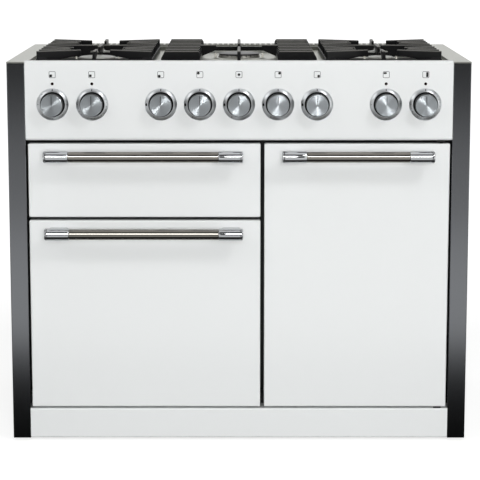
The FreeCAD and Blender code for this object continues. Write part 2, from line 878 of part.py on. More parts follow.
def gas_rail():
    """Gas rail with five tap bodies, led to a socket in the back."""
    route = [
        ("-rail_left", "rail_y", "rail_z"),
        ("inlet_offset", "rail_y", "rail_z"),
        ("inlet_offset", "rear_y - inlet_length / 2", "rail_z"),
    ]
    start = ("inlet_offset", "rear_y - inlet_length", "rail_z")
    mouth = ("inlet_offset", "rear_y + cut_over", "rail_z")
    pieces = [
        bent_tube("rail_run", route, "rail_radius", "rail_bend"),
        rod("rail_socket", "inlet_radius", "back", start, "inlet_length"),
    ]
    tools = [rod("rail_thread", "inlet_bore_radius", "front", mouth, "inlet_bore_length + cut_over")]
    tap_y = ("face_y + tap_setback", "face_y + tap_setback + tap_depth")
    for name, x in GAS_KNOBS.items():
        pieces.append(block(f"tap_{name}", centred(x, "tap_width"), tap_y, centred("knob_z", "tap_height")))
        saddle_z = ("rail_z - rail_radius", "knob_z")
        saddle_y = (f"{tap_y[1]} - rail_radius", f"{tap_y[1]} + rail_radius")
        pieces.append(block(f"tap_saddle_{name}", centred(x, "saddle_width"), saddle_y, saddle_z))
        start = (x, "face_y + tap_setback - cut_over", "knob_z")
        depth = "stem_length - tap_setback + push_travel + running_gap + cut_over"
        tools.append(rod(f"tap_bore_{name}", "stem_radius + fit_clearance", "back", start, depth))
    node("gas_rail", cut("gas_rail", join("rail_brazed", pieces), tools))


def rotary_switches():
    switches = []
    for name, x in OVEN_KNOBS.items():
        y = ("face_y + sheet", "face_y + sheet + switch_depth")
        case = block(f"switch_{name}", centred(x, "switch_width"), y, centred("knob_z", "switch_width"))
        start = (x, "face_y", "knob_z")
        deep = "stem_length + cut_over"
        bore = rod(f"switch_bore_{name}", "stem_radius + fit_clearance", "back", start, deep)
        switches.append(cut(f"switch_bored_{name}", case, [bore]))
    node("rotary_switches", group("rotary_switches", switches))


def knob_bezels():
    profile = [
        ("bezel_bore_radius", "0"),
        ("bezel_radius", "0"),
        ("bezel_radius", "bezel_lip"),
        ("bezel_bore_radius + bezel_crest", "bezel_rise"),
        ("bezel_bore_radius", "bezel_rise"),
    ]
    rings = [
        turned(f"bezel_{name}", profile, "front", (x, "face_y", "knob_z"))
        for name, x in (OVEN_KNOBS | GAS_KNOBS).items()
    ]
    node("knob_bezels", group("knob_bezels", rings))


def indicator_lenses():
    profile = [
        ("0", "-lens_stem_length"),
        ("lens_stem_radius", "-lens_stem_length"),
        ("lens_stem_radius", "0"),
        ("lens_radius", "0"),
        ("lens_radius", "lens_shoulder"),
        ("lens_flat_radius", "lens_rise"),
        ("0", "lens_rise"),
    ]
    lenses = [
        turned(f"lens_{name}", profile, "front", (x, "face_y", "lens_z"))
        for name, x in OVEN_KNOBS.items()
    ]
    node("indicator_lenses", group("indicator_lenses", lenses))


def knobs():
    """Hollow spun knobs. Oven knobs carry their spindle; gas knobs turn on a stem that pushes in."""
    front = "knob_lift + knob_length"
    inside = f"{front} - knob_face"
    outside = [
        ("hub_radius", "knob_lift"),
        ("hub_radius", inside),
        ("knob_radius - knob_skirt", inside),
        ("knob_radius - knob_skirt", "knob_lift"),
        ("knob_radius", "knob_lift"),
        ("knob_radius - knob_draft", f"{front} - knob_chamfer"),
        ("knob_radius - knob_draft - knob_chamfer", front),
        ("0", front),
    ]
    spindle = [("0", "-stem_length"), ("stem_radius", "-stem_length"), ("stem_radius", "knob_lift")]
    bore = "stem_radius + fit_clearance"
    socket = [("0", inside), (bore, inside), (bore, "knob_lift")]
    for name, x in OVEN_KNOBS.items():
        marked_knob(name, x, front, spindle + outside)
    for name, x in GAS_KNOBS.items():
        marked_knob(f"{name}_burner", x, front, outside + socket)
        stem = [
            ("0", "-stem_length"),
            ("stem_radius", "-stem_length"),
            ("stem_radius", "-push_travel - collar_length - sheet"),
            ("collar_radius", "-push_travel - collar_length - sheet"),
            ("collar_radius", "-push_travel - sheet"),
            ("stem_radius", "-push_travel - sheet"),
            ("stem_radius", f"{inside} - running_gap"),
            ("0", f"{inside} - running_gap"),
        ]
        node(f"{name}_push_stem", turned(f"{name}_push_stem", stem, "front", (x, "face_y", "knob_z")))


def marked_knob(name, x, front, profile):
    """One knob with its pointer groove at twelve o'clock."""
    blank = turned(f"{name}_blank", profile, "front", (x, "face_y", "knob_z"))
    groove_y = (f"face_y - ({front}) - cut_over", f"face_y - ({front}) + pointer_depth")
    groove_top = "knob_z + knob_radius - pointer_rim"
    groove_z = (f"{groove_top} - pointer_length", groove_top)
    groove = block(f"{name}_groove", centred(x, "pointer_width"), groove_y, groove_z)
    node(f"{name}_knob", cut(f"{name}_knob", blank, [groove]))


def liners():
    """Enamelled cavities, open at the front, each with a flange behind the front frame."""
    for name, (x, z) in CAVITIES.items():
        depth = ("frame_back", "cavity_back + liner_wall")
        outer = block(f"{name}_box", grown(x, "liner_wall"), depth, grown(z, "liner_wall"))
        rim = "liner_wall + liner_flange"
        depth = ("frame_back", "frame_back + liner_wall")
        flange = block(f"{name}_flange", grown(x, rim), depth, grown(z, rim))
        tools = [block(f"{name}_cavity", x, ("frame_back - cut_over", "cavity_back"), z)]
        if name in CENTRES:
            start = (CENTRES[name], "cavity_back - cut_over", fan_height(name))
            radius = "fan_shaft_radius + fit_clearance"
            tools.append(rod(f"{name}_shaft_hole", radius, "back", start, "liner_wall + 2 * cut_over"))
        label = f"{name}_liner" if name in CENTRES else "grill_compartment"
        node(label, cut(label, join(f"{name}_pressing", [outer, flange]), tools))


def fan_height(oven):
    z = CAVITIES[oven][1]
    return f"({z[0]} + {z[1]}) / 2"


def shelf_ladders():
    """Wire side racks: two uprights pegged to the wall, and a rail welded on for each shelf level."""
    ladders = []
    shelves = []
    for oven, (x, z) in CAVITIES.items():
        if oven not in CENTRES:
            continue
        height = value(f"({z[1]}) - ({z[0]})")
        levels = 1 + int((height - 2 * value("ladder_first")) // value("ladder_pitch"))
        rails_z = [f"{z[0]} + ladder_first + {n} * ladder_pitch" for n in range(levels)]
        front, back = "frame_back + ladder_front", "cavity_back - ladder_back"
        rise = f"{rails_z[-1]} - ({rails_z[0]}) + 2 * upright_overrun"
        pegs = {"low": f"{rails_z[0]} - peg_offset", "high": f"{rails_z[-1]} + peg_offset"}
        behind = "ladder_offset - rail_wire_radius - wire_radius + weld_depth"
        for side, rail_x, upright_x, peg_x in (
            ("left", f"{x[0]} + ladder_offset", f"{x[0]} + {behind}", x[0]),
            ("right", f"{x[1]} - ladder_offset", f"{x[1]} - ({behind})", f"{x[1]} - ({behind})"),
        ):
            name = f"{oven}_{side}"
            wires = []
            for end, y in (("front", front), ("back", back)):
                start = (upright_x, y, f"{rails_z[0]} - upright_overrun")
                wires.append(rod(f"{name}_upright_{end}", "wire_radius", "up", start, rise))
                for tip, peg_z in pegs.items():
                    peg = f"{name}_peg_{end}_{tip}"
                    wires.append(rod(peg, "rail_wire_radius", "right", (peg_x, y, peg_z), behind))
            for n, level in enumerate(rails_z):
                start = (rail_x, f"{front} - ladder_overhang", level)
                span = f"{back} - ({front}) + 2 * ladder_overhang"
                wires.append(rod(f"{name}_rail_{n}", "rail_wire_radius", "back", start, span))
            ladders.append(join(f"{name}_ladder", wires))
        for n in (1, levels // 2 + 1):
            shelves.append(wire_shelf(f"{oven}_shelf_{n}", x, rails_z[n]))
    node("oven_shelf_ladders", group("oven_shelf_ladders", ladders))
    node("oven_shelves", group("oven_shelves", shelves))


def wire_shelf(name, x, rail_z):
    """Chromed wire shelf that lies on one pair of ladder rails."""
    z = f"{rail_z} + 2 * rail_wire_radius + running_gap"
    low, high = shrunk(x, "ladder_offset + shelf_clearance")
    front, back = "frame_back + shelf_front", "cavity_back - fan_space - shelf_front"
    wires = [
        rod(f"{name}_front", "wire_radius", "right", (low, front, z), f"{high} - ({low})"),
        rod(f"{name}_back", "wire_radius", "right", (low, back, z), f"{high} - ({low})"),
    ]
    for n in range(SIZES["shelf_wires"] + 2):
        start = (f"{low} + ({high} - ({low})) * {n} / (shelf_wires + 1)", front, z)
        wires.append(rod(f"{name}_wire_{n}", "rail_wire_radius", "back", start, f"{back} - ({front})"))
    return join(name, wires)


def fan_baffles():
    """Covers in front of the oven fans, with a star of intake slots and open sides."""
    baffles = []
    for oven, centre in CENTRES.items():
        x, z = CAVITIES[oven]
        across = centred("0", f"{x[1]} - ({x[0]}) - 2 * baffle_margin")
        upright = centred("0", f"{z[1]} - ({z[0]}) - 2 * baffle_margin")
        at = (centre, "cavity_back - fan_space + sheet", fan_height(oven))
        body = padded(f"{oven}_baffle_plate", corners(across, upright), "XZ_Plane", "sheet", at)
        outline = corners(centred("0", "baffle_slot_width"), ("baffle_slot_inner", "baffle_slot_outer"))
        slot = pocket(body, f"{oven}_baffle_slot", outline, "XZ_Plane", "2 * (sheet + cut_over)")
        star = pattern(body, "PartDesign::PolarPattern", f"{oven}_baffle_star", slot, "Y_Axis", Angle="360")
        star.Occurrences = SIZES["baffle_slots"]
        span = shrunk(x, "baffle_margin")
        depth = ("cavity_back - fan_space", "cavity_back")
        low = f"{z[0]} + baffle_margin"
        high = f"{z[1]} - baffle_margin"
        returns = [
            block(f"{oven}_baffle_foot", span, depth, (low, f"{low} + sheet")),
            block(f"{oven}_baffle_head", span, depth, (f"{high} - sheet", high)),
        ]
        baffles.append(join(f"{oven}_baffle", [body] + returns))
    node("fan_baffles", group("fan_baffles", baffles))


def oven_fans():
    """Paddle fans: a disc with upright blades, on a shaft through the back of the oven."""
    for oven, centre in CENTRES.items():
        profile = [
            ("0", "-fan_shaft_reach"),
            ("fan_shaft_radius", "-fan_shaft_reach"),
            ("fan_shaft_radius", "0"),
            ("fan_radius", "0"),
            ("fan_radius", "blade_thickness"),
            ("fan_hub_radius", "blade_thickness"),
            ("fan_hub_radius", "fan_hub_length"),
            ("0", "fan_hub_length"),
        ]
        body = turned(f"{oven}_fan", profile, "front", (centre, "fan_back", fan_height(oven)))
        outline = [
            ("blade_inner_radius", "blade_thickness / 2"),
            ("fan_radius", "blade_thickness / 2"),
            ("fan_radius", "blade_tip_depth"),
            ("blade_shoulder_radius", "fan_depth"),
            ("blade_inner_radius", "fan_depth"),
        ]
        sketch = sketch_loop(body, f"{oven}_blade_outline", "XZ_Plane", outline)
        blade = body.newObject("PartDesign::Pad", f"{oven}_blade")
        blade.Profile = sketch
        blade.Midplane = True
        bind(blade, Length="blade_thickness")
        wheel = pattern(body, "PartDesign::PolarPattern", f"{oven}_blades", blade, "Z_Axis", Angle="360")
        wheel.Occurrences = SIZES["fan_blades"]
        node(f"{oven}_fan", body)


def oven_seals():
    seals = []
    for oven in CENTRES:
        x, z = CAVITIES[oven]
        y = ("frame_front - seal_thickness", "frame_front")
        reach = "seal_offset + seal_width"
        outer = block(f"{oven}_seal_outer", grown(x, reach), y, grown(z, reach))
        mouth_x, mouth_z = grown(x, "seal_offset"), grown(z, "seal_offset")
        inner = block(f"{oven}_seal_inner", mouth_x, grown(y, "cut_over"), mouth_z)
        ring = cut(f"{oven}_seal_ring", outer, [inner])
        front = value(y[0])
        seals.append(
            rounded(
                f"{oven}_seal", ring, "seal_radius",
                lambda edge: abs(edge.BoundBox.YMin - front) + abs(edge.BoundBox.YMax - front) < TOLERANCE,
            )
        )
    node("oven_seals", group("oven_seals", seals))


def pressed_front(name, x, z):
    """Enamelled front pressing: a rounded pan with a folded flange round its open back."""
    outer = block(f"{name}_outer", x, ("face_y", "panel_back"), z)
    back = value("panel_back")
    skin = rounded(
        f"{name}_round", outer, "front_radius", lambda edge: edge.BoundBox.YMin < back - TOLERANCE
    )
    inside = ("face_y + sheet", "panel_back - sheet")
    hollow = block(f"{name}_hollow", shrunk(x, "sheet"), inside, shrunk(z, "sheet"))
    hollow_back = value(inside[1])
    hollow = rounded(
        f"{name}_hollow_round", hollow, "front_radius - sheet",
        lambda edge: edge.BoundBox.YMin < hollow_back - TOLERANCE,
    )
    opening = block(
        f"{name}_opening", shrunk(x, "panel_return"),
        ("panel_back - sheet - cut_over", "panel_back + cut_over"), shrunk(z, "panel_return"),
    )
    return cut(f"{name}_pan", skin, [hollow, opening])


def door_inner(label, x, z):
    """Inner door panel with a shallow pressed field facing the oven."""
    x, z = shrunk(x, "inner_inset"), shrunk(z, "inner_inset")
    slab = block(f"{label}_slab", x, ("panel_back", "inner_back"), z)
    front = value("panel_back")
    skin = rounded(
        f"{label}_round", slab, "inner_radius", lambda edge: edge.BoundBox.YMax > front + TOLERANCE
    )
    field = block(
        f"{label}_field", shrunk(x, "recess_border"), ("inner_back - inner_recess", "inner_back + cut_over"),
        shrunk(z, "recess_border"),
    )
    hollow = block(
        f"{label}_hollow", shrunk(x, "sheet + inner_radius"),
        ("panel_back - cut_over", "inner_back - inner_recess - sheet"), shrunk(z, "sheet + inner_radius"),
    )
    node(label, cut(label, skin, [field, hollow]))


def left_door():
    """Drop-down door, pivoted on two pins near the foot of its side walls."""
    pan = pressed_front("left_door", LEFT_X, LEFT_DOOR_Z)
    boss_y = ("face_y + sheet / 2", "panel_back - sheet / 2")
    boss_z = ("doors_bottom + sheet / 2", "doors_bottom + boss_height")
    near_x = ("left_door_left + sheet / 2", "left_door_left + boss_width")
    far_x = ("left_door_right - boss_width", "left_door_right - sheet / 2")
    bosses = [
        block("left_boss_near", near_x, boss_y, boss_z),
        block("left_boss_far", far_x, boss_y, boss_z),
    ]
    bore = "pin_radius + fit_clearance"
    deep = "pin_length + running_gap + cut_over"
    pivot = ("face_y + pivot_depth", "doors_bottom + pivot_inset")
    near, far = "left_door_left - cut_over", "left_door_right - pin_length - running_gap"
    holes = [
        rod("left_pin_hole_near", bore, "right", (near, *pivot), deep),
        rod("left_pin_hole_far", bore, "right", (far, *pivot), deep),
    ]
    node("left_door_panel", cut("left_door_panel", join("left_door_built", [pan] + bosses), holes))
    door_inner("left_door_inner", LEFT_X, LEFT_DOOR_Z)


def right_door():
    """Tall door, pivoted on two upright pins near its outer edge."""
    pan = pressed_front("right_door", RIGHT_X, RIGHT_DOOR_Z)
    boss_x = ("right_door_right - boss_height", "right_door_right - sheet / 2")
    boss_y = ("face_y + sheet / 2", "panel_back - sheet / 2")
    bosses = [
        block("right_boss_low", boss_x, boss_y, ("doors_bottom + sheet / 2", "doors_bottom + boss_width")),
        block("right_boss_high", boss_x, boss_y, ("grill_top - boss_width", "grill_top - sheet / 2")),
    ]
    bore = "pin_radius + fit_clearance"
    deep = "pin_length + running_gap + cut_over"
    pivot = ("right_door_right - pivot_inset", "face_y + pivot_depth")
    holes = [
        rod("right_pin_hole_low", bore, "up", (*pivot, "doors_bottom - cut_over"), deep),
        rod("right_pin_hole_high", bore, "down", (*pivot, "grill_top + cut_over"), deep),
    ]
    node("right_door_panel", cut("right_door_panel", join("right_door_built", [pan] + bosses), holes))
    door_inner("right_door_inner", RIGHT_X, RIGHT_DOOR_Z)


def door_hinge_brackets():
    """Plates in the gaps round the doors, footed on the front frame, with the pivot pins."""
    y = ("face_y + pivot_depth - hinge_height / 2", "frame_front")
    foot_y = ("frame_front - hinge_plate", "frame_front")
    side_z = centred("doors_bottom + pivot_inset", "hinge_height")
    pivot = ("face_y + pivot_depth", "doors_bottom + pivot_inset")
    near_x = centred("left_door_left - side_gap / 2", "hinge_plate")
    far_x = centred("left_door_right + middle_gap / 2", "hinge_plate")
    post = ("right_door_right - pivot_inset", "face_y + pivot_depth")
    post_x = centred(post[0], "hinge_height")
    low_z = ("plinth_top", "plinth_top + plinth_gap - 2 * running_gap")
    high_z = centred("grill_top + row_gap / 2", "hinge_plate")
    high_foot = ("grill_top - hinge_foot", f"{high_z[0]} + hinge_plate")
    brackets = [
        join("hinge_left_near", [
            block("hinge_left_near_plate", near_x, y, side_z),
            block("hinge_left_near_foot", (near_x[0], f"{near_x[0]} + hinge_foot"), foot_y, side_z),
            rod("hinge_left_near_pin", "pin_radius", "right", (near_x[0], *pivot),
                f"left_door_left + pin_length - ({near_x[0]})"),
        ]),
        join("hinge_left_far", [
            block("hinge_left_far_plate", far_x, y, side_z),
            block("hinge_left_far_foot", (f"{far_x[1]} - hinge_foot", far_x[1]), foot_y, side_z),
            rod("hinge_left_far_pin", "pin_radius", "right", ("left_door_right - pin_length", *pivot),
                f"{far_x[1]} - (left_door_right - pin_length)"),
        ]),
        join("hinge_right_low", [
            block("hinge_right_low_plate", post_x, y, low_z),
            rod("hinge_right_low_pin", "pin_radius", "up", (*post, low_z[0]),
                f"doors_bottom + pin_length - ({low_z[0]})"),
        ]),
        join("hinge_right_high", [
            block("hinge_right_high_plate", post_x, y, high_z),
            block("hinge_right_high_foot", post_x, foot_y, high_foot),
            rod("hinge_right_high_pin", "pin_radius", "up", (*post, "grill_top - pin_length"),
                f"{high_z[1]} - (grill_top - pin_length)"),
        ]),
    ]
    node("door_hinge_brackets", group("door_hinge_brackets", brackets))


def handle(front, x, top):
    """Round bar held between two sleeves, each on a post that stands on the front."""
    y = "face_y - handle_standoff"
    z = f"{top} - handle_drop"
    low, high = shrunk(x, "handle_margin")
    start = (f"{low} + sleeve_length", y, z)
    span = f"{high} - ({low}) - 2 * sleeve_length"
    node(f"{front}_handle_bar", rod(f"{front}_handle_bar", "bar_radius", "right", start, span))
    profile = [
        ("0", "0"),
        ("sleeve_radius - sleeve_chamfer", "0"),
        ("sleeve_radius", "sleeve_chamfer"),
        ("sleeve_radius", "sleeve_length - sleeve_chamfer / 2"),
        ("sleeve_radius - sleeve_chamfer / 2", "sleeve_length"),
        ("0", "sleeve_length"),
    ]
    brackets = []
    for side, end in (("left", low), ("right", f"{high} - sleeve_length")):
        sleeve = turned(f"{front}_{side}_sleeve", profile, "right", (end, y, z))
        post_x = centred(f"{end} + sleeve_length / 2", "post_width")
        post = block(f"{front}_{side}_post_block", post_x, (y, "face_y"), centred(z, "post_height"))
        post = rounded(f"{front}_{side}_post", post, "post_radius", lambda edge: runs_along(edge, "y"))
        brackets.append(join(f"{front}_{side}_bracket", [sleeve, post]))
    node(f"{front}_handle_brackets", group(f"{front}_handle_brackets", brackets))


def grill_drawer():
    """Front, sliders, pan and trivet, which pull out together on two fixed channels."""
    node("grill_front_panel", pressed_front("grill_front", LEFT_X, GRILL_Z))
    x, _ = CAVITIES["grill"]
    channel_y = ("frame_back + liner_wall", "frame_back + liner_wall + runner_length")
    channel_z = ("runner_floor", "runner_floor + runner_height")
    slider_y = ("face_y + sheet", f"{channel_y[0]} + runner_length - runner_width")
    bracket_y = ("face_y + sheet", "face_y + sheet + ledge_thickness")
    slider_z = shrunk(channel_z, "runner_wall + slider_clearance")
    gap = "runner_wall + slider_clearance"
    channels = []
    sliders = []
    for side, wall, sign in (("left", x[0], "+"), ("right", x[1], "-")):
        spans = {
            "channel": (wall, f"{wall} {sign} runner_width"),
            "groove": (f"{wall} {sign} runner_wall", f"{wall} {sign} (runner_width + cut_over)"),
            "slider": (f"{wall} {sign} ({gap})", f"{wall} {sign} ({gap} + slider_width)"),
            "ledge": (f"{wall} {sign} ({gap})", f"{wall} {sign} ({gap} + slider_width + slider_ledge)"),
        }
        if sign == "-":
            spans = {name: span[::-1] for name, span in spans.items()}
        outer = block(f"{side}_channel_bar", spans["channel"], channel_y, channel_z)
        groove_z = shrunk(channel_z, "runner_wall")
        groove = block(f"{side}_channel_groove", spans["groove"], grown(channel_y, "cut_over"), groove_z)
        channels.append(cut(f"{side}_channel", outer, [groove]))
        ledge_z = (slider_z[0], "ledge_top")
        bar = block(f"{side}_slider_bar", spans["slider"], slider_y, slider_z)
        ledge = block(f"{side}_slider_ledge", spans["ledge"], slider_y, ledge_z)
        bracket_z = grown(slider_z, "runner_width")
        bracket = block(f"{side}_slider_bracket", spans["ledge"], bracket_y, bracket_z)
        sliders.append(join(f"{side}_slider", [bar, ledge, bracket]))
    node("grill_fixed_runners", group("grill_fixed_runners", channels))
    node("grill_sliding_runners", group("grill_sliding_runners", sliders))
    inset = f"{gap} + slider_width + running_gap"
    rim_x = shrunk(x, inset)
    pan_y = ("frame_back + pan_front", "frame_back + pan_front + pan_length")
    rim_z = ("ledge_top", "ledge_top + pan_wall")
    tub_x = shrunk(rim_x, "slider_ledge + running_gap")
    tub_y = shrunk(pan_y, "pan_rim")
    rim = block("pan_rim_plate", rim_x, pan_y, rim_z)
    tub = block("pan_tub", tub_x, tub_y, ("ledge_top - pan_depth", rim_z[0]))
    well = block("pan_well", shrunk(tub_x, "pan_wall"), shrunk(tub_y, "pan_wall"),
                 ("ledge_top - pan_depth + pan_wall", f"{rim_z[1]} + cut_over"))
    node("grill_pan", cut("grill_pan", join("pan_pressing", [rim, tub]), [well]))
    grill_trivet(rim_x, pan_y, rim_z[1])


def grill_trivet(x, y, z):
    """Wire trivet that lies across the rim of the pan."""
    frame_x, frame_y = shrunk(x, "pan_rim"), shrunk(y, "pan_rim")
    level = f"{z} + wire_radius"
    wires = []
    for end, place_y in (("front", frame_y[0]), ("back", frame_y[1])):
        start = (x[0], place_y, level)
        wires.append(rod(f"trivet_{end}", "wire_radius", "right", start, f"{x[1]} - ({x[0]})"))
    for n in range(SIZES["trivet_bars"]):
        across = f"{frame_x[0]} + ({frame_x[1]} - ({frame_x[0]})) * {n} / (trivet_bars - 1)"
        start = (across, frame_y[0], level)
        length = f"{frame_y[1]} - ({frame_y[0]})"
        wires.append(rod(f"trivet_bar_{n}", "rail_wire_radius", "back", start, length))
    node("grill_trivet", join("grill_trivet", wires))


def grill_element():
    """Sheathed heating rod bent to and fro below the grill roof, on two hangers."""
    first = "left_centre - (element_runs - 1) / 2 * element_pitch"
    front, back = "frame_back + element_front", "frame_back + element_front + element_length"
    bend = "element_pitch / 2"
    pieces = []
    for n in range(SIZES["element_runs"]):
        x = f"{first} + {n} * element_pitch"
        start = (x, front, "element_z")
        pieces.append(rod(f"element_run_{n}", "element_radius", "back", start, f"{back} - ({front})"))
        if n + 1 < SIZES["element_runs"]:
            ring = doc.addObject("Part::Torus", f"element_bend_{n}")
            bind(ring, Radius1=bend, Radius2="element_radius")
            ring.Angle3 = 180
            end, spin = (back, 0) if n % 2 == 0 else (front, 180)
            turn = FreeCAD.Rotation(FreeCAD.Vector(0, 0, 1), spin)
            pieces.append(place(ring, (f"{x} + {bend}", end, "element_z"), turn))
    last = f"{first} + (element_runs - 1) * element_pitch"
    span = grown((first, last), "element_radius")
    height = ("element_z", "grill_floor + grill_cavity_height")
    for end, sign in (("front", "-"), ("back", "+")):
        y = f"({front} + {back}) / 2 {sign} hanger_offset"
        pieces.append(block(f"element_hanger_{end}", span, centred(y, "sheet"), height))
    node("grill_element", join("grill_element", pieces))


def fin(name, root, tip, low):
    """Upright cast finger from a root to a tip, narrower and shallower at the tip."""
    run = (f"({tip[0]} - ({root[0]}))", f"({tip[1]} - ({root[1]}))")
    piece = bind(
        doc.addObject("Part::Wedge", name),
        Xmin="-fin_width / 2", Xmax="fin_width / 2", Ymin="0", Ymax=f"hypot({run[0]}; {run[1]})",
        Zmin="0", Zmax=f"grate_top - ({low})", X2min="-fin_tip_width / 2", X2max="fin_tip_width / 2",
        Z2min=f"grate_top - ({low}) - fin_tip_height", Z2max=f"grate_top - ({low})",
    )
    heading = FreeCAD.Vector(value(run[0]), value(run[1]), 0)
    return place(piece, (*root, low), FreeCAD.Rotation(FreeCAD.Vector(0, 1, 0), heading))


def grate_feet(name, x, y):
    x, y = shrunk(x, "grate_foot_inset"), shrunk(y, "grate_foot_inset")
    places = [(px, py, "grate_under - grate_foot") for px in x for py in y]
    return [
        rod(f"{name}_foot_{n}", "grate_foot_radius", "up", at, "grate_foot + grate_rail_height / 2")
        for n, at in enumerate(places)
    ]


def side_grate(side, sign):
    """Side pan support: a low frame with a row of fingers a side that fan in to the two burners."""
    centre = f"{sign}side_grate_centre"
    name = f"{side}_grate"
    x = centred(centre, "side_grate_width")
    y = ("grate_start", "grate_end")
    rail_z = ("grate_under", "grate_under + grate_rail_height")
    rail = "grate_rail_width"
    pieces = [
        block(f"{name}_west", (x[0], f"{x[0]} + {rail}"), y, rail_z),
        block(f"{name}_east", (f"{x[1]} - {rail}", x[1]), y, rail_z),
        block(f"{name}_front", x, (y[0], f"{y[0]} + fin_width"), rail_z),
        block(f"{name}_rear", x, (f"{y[1]} - fin_width", y[1]), rail_z),
        block(f"{name}_bridge", x, centred("grate_middle", "fin_width"), rail_z),
    ]
    middle = SIZES["grate_bars"] // 2
    for edge, rail_x, inward, outward in (("west", x[0], "+", "-"), ("east", x[1], "-", "+")):
        for n in range(SIZES["grate_bars"]):
            start = f"grate_start + fin_width / 2 + {n} * grate_pitch"
            root = (f"{rail_x} {inward} fin_root_inset", start)
            if n == middle:
                tip = (f"{centre} {outward} fin_width", "grate_middle")
            else:
                burner = "burner_front_y" if n < middle else "burner_rear_y"
                drift = f"({start} - ({burner})) * fin_spread"
                tip = (f"{centre} {outward} sqrt(fin_reach ^ 2 - ({drift}) ^ 2)", f"{burner} + {drift}")
            pieces.append(fin(f"{name}_{edge}_{n}", root, tip, "grate_under"))
    for finger, root_y, tip_y in (
        ("nose", "grate_start", "burner_front_y - nose_reach"),
        ("mid_front", "grate_middle", "grate_middle - middle_fin_length"),
        ("mid_rear", "grate_middle", "grate_middle + middle_fin_length"),
        ("tail", "grate_end", "burner_rear_y + nose_reach"),
    ):
        pieces.append(fin(f"{name}_{finger}", (centre, root_y), (centre, tip_y), "grate_under"))
    pieces += grate_feet(name, x, y)
    node(f"pan_support_{side}", join(f"pan_support_{side}", pieces))


def comb_bar(name, outer, inward, n):
    """Upright bar of a comb, slanted at its outer end and blunted at its inner one."""
    inner = f"{outer} {inward} comb_length"
    outward = "-" if inward == "+" else "+"
    outline = [
        (outer, "grate_under"),
        (inner, "grate_under"),
        (inner, "grate_top - comb_nose_height"),
        (f"{inner} {outward} comb_nose", "grate_top"),
        (f"{outer} {inward} comb_slant", "grate_top"),
        (outer, "grate_top - comb_slant_height"),
    ]
    back = f"grate_start + fin_width + {n} * grate_pitch"
    return padded(name, outline, "XZ_Plane", "fin_width", ("0", back, "0"))


def centre_grate():
    """Middle pan support: two combs of straight bars, with fingers to the large burner."""
    x = centred("0", "centre_grate_width")
    y = ("grate_start", "grate_end")
    rail_z = ("grate_under", "grate_under + grate_rail_height")
    rail = "grate_rail_width"
    front_z = ("grate_under", "grate_under + wok_front_height")
    pieces = [
        block("wok_rear", x, (f"{y[1]} - fin_width", y[1]), rail_z),
        block("wok_front", x, (y[0], f"{y[0]} + fin_width"), front_z),
    ]
    for edge, outer, inward in (("west", x[0], "+"), ("east", x[1], "-")):
        spans = {
            "outer": (outer, f"{outer} {inward} {rail}"),
            "inner": (f"{outer} {inward} (comb_length - {rail})", f"{outer} {inward} comb_length"),
        }
        if inward == "-":
            spans = {key: span[::-1] for key, span in spans.items()}
        pieces.append(block(f"wok_{edge}_outer", spans["outer"], y, rail_z))
        pieces.append(block(f"wok_{edge}_inner", spans["inner"], y, rail_z))
        for n in range(SIZES["grate_bars"]):
            pieces.append(comb_bar(f"wok_{edge}_bar_{n}", outer, inward, n))
        tip = "-wok_reach" if edge == "west" else "wok_reach"
        root = f"{outer} {inward} (comb_length - {rail} / 2)"
        pieces.append(fin(f"wok_{edge}_finger", (root, "grate_middle"), (tip, "grate_middle"), "grate_under"))
    pieces.append(fin("wok_nose", ("0", "grate_start"), ("0", "grate_middle - wok_reach"), "grate_under"))
    pieces.append(fin("wok_tail", ("0", "grate_end"), ("0", "grate_middle + wok_reach"), "grate_under"))
    pieces += grate_feet("wok", x, y)
    node("pan_support_centre", join("pan_support_centre", pieces))


base_frame()
levelling_feet()
side_panels()
plinth()
front_frame()
rear_panel()
control_fascia()
hob_tray()
rear_vent_trim()
burner_parts()
gas_rail()
rotary_switches()
knob_bezels()
indicator_lenses()
knobs()
liners()
shelf_ladders()
fan_baffles()
oven_fans()
oven_seals()
left_door()
right_door()
door_hinge_brackets()
handle("grill", LEFT_X, "grill_top")
handle("left_door", LEFT_X, "left_door_top")
handle("right_door", RIGHT_X, "grill_top")
grill_drawer()
grill_element()
side_grate("left", "-")
side_grate("right", "")
centre_grate()
doc.recompute()

for item in doc.Objects:
    if "Invalid" in item.State or "Error" in item.State:
        raise RuntimeError(f"{item.Name} failed: {item.State}")
for item in nodes:
    if item.Shape.isNull() or not item.Shape.isValid():
        raise RuntimeError(f"{item.Label} has no valid shape")

os.makedirs("parts", exist_ok=True)
for item in nodes:
    item.Shape.exportStep(f"parts/{item.Label}.step")
print(f"wrote {len(nodes)} sub-parts")
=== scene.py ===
import json
import math

import bmesh
import bpy
from mathutils import Matrix, Vector


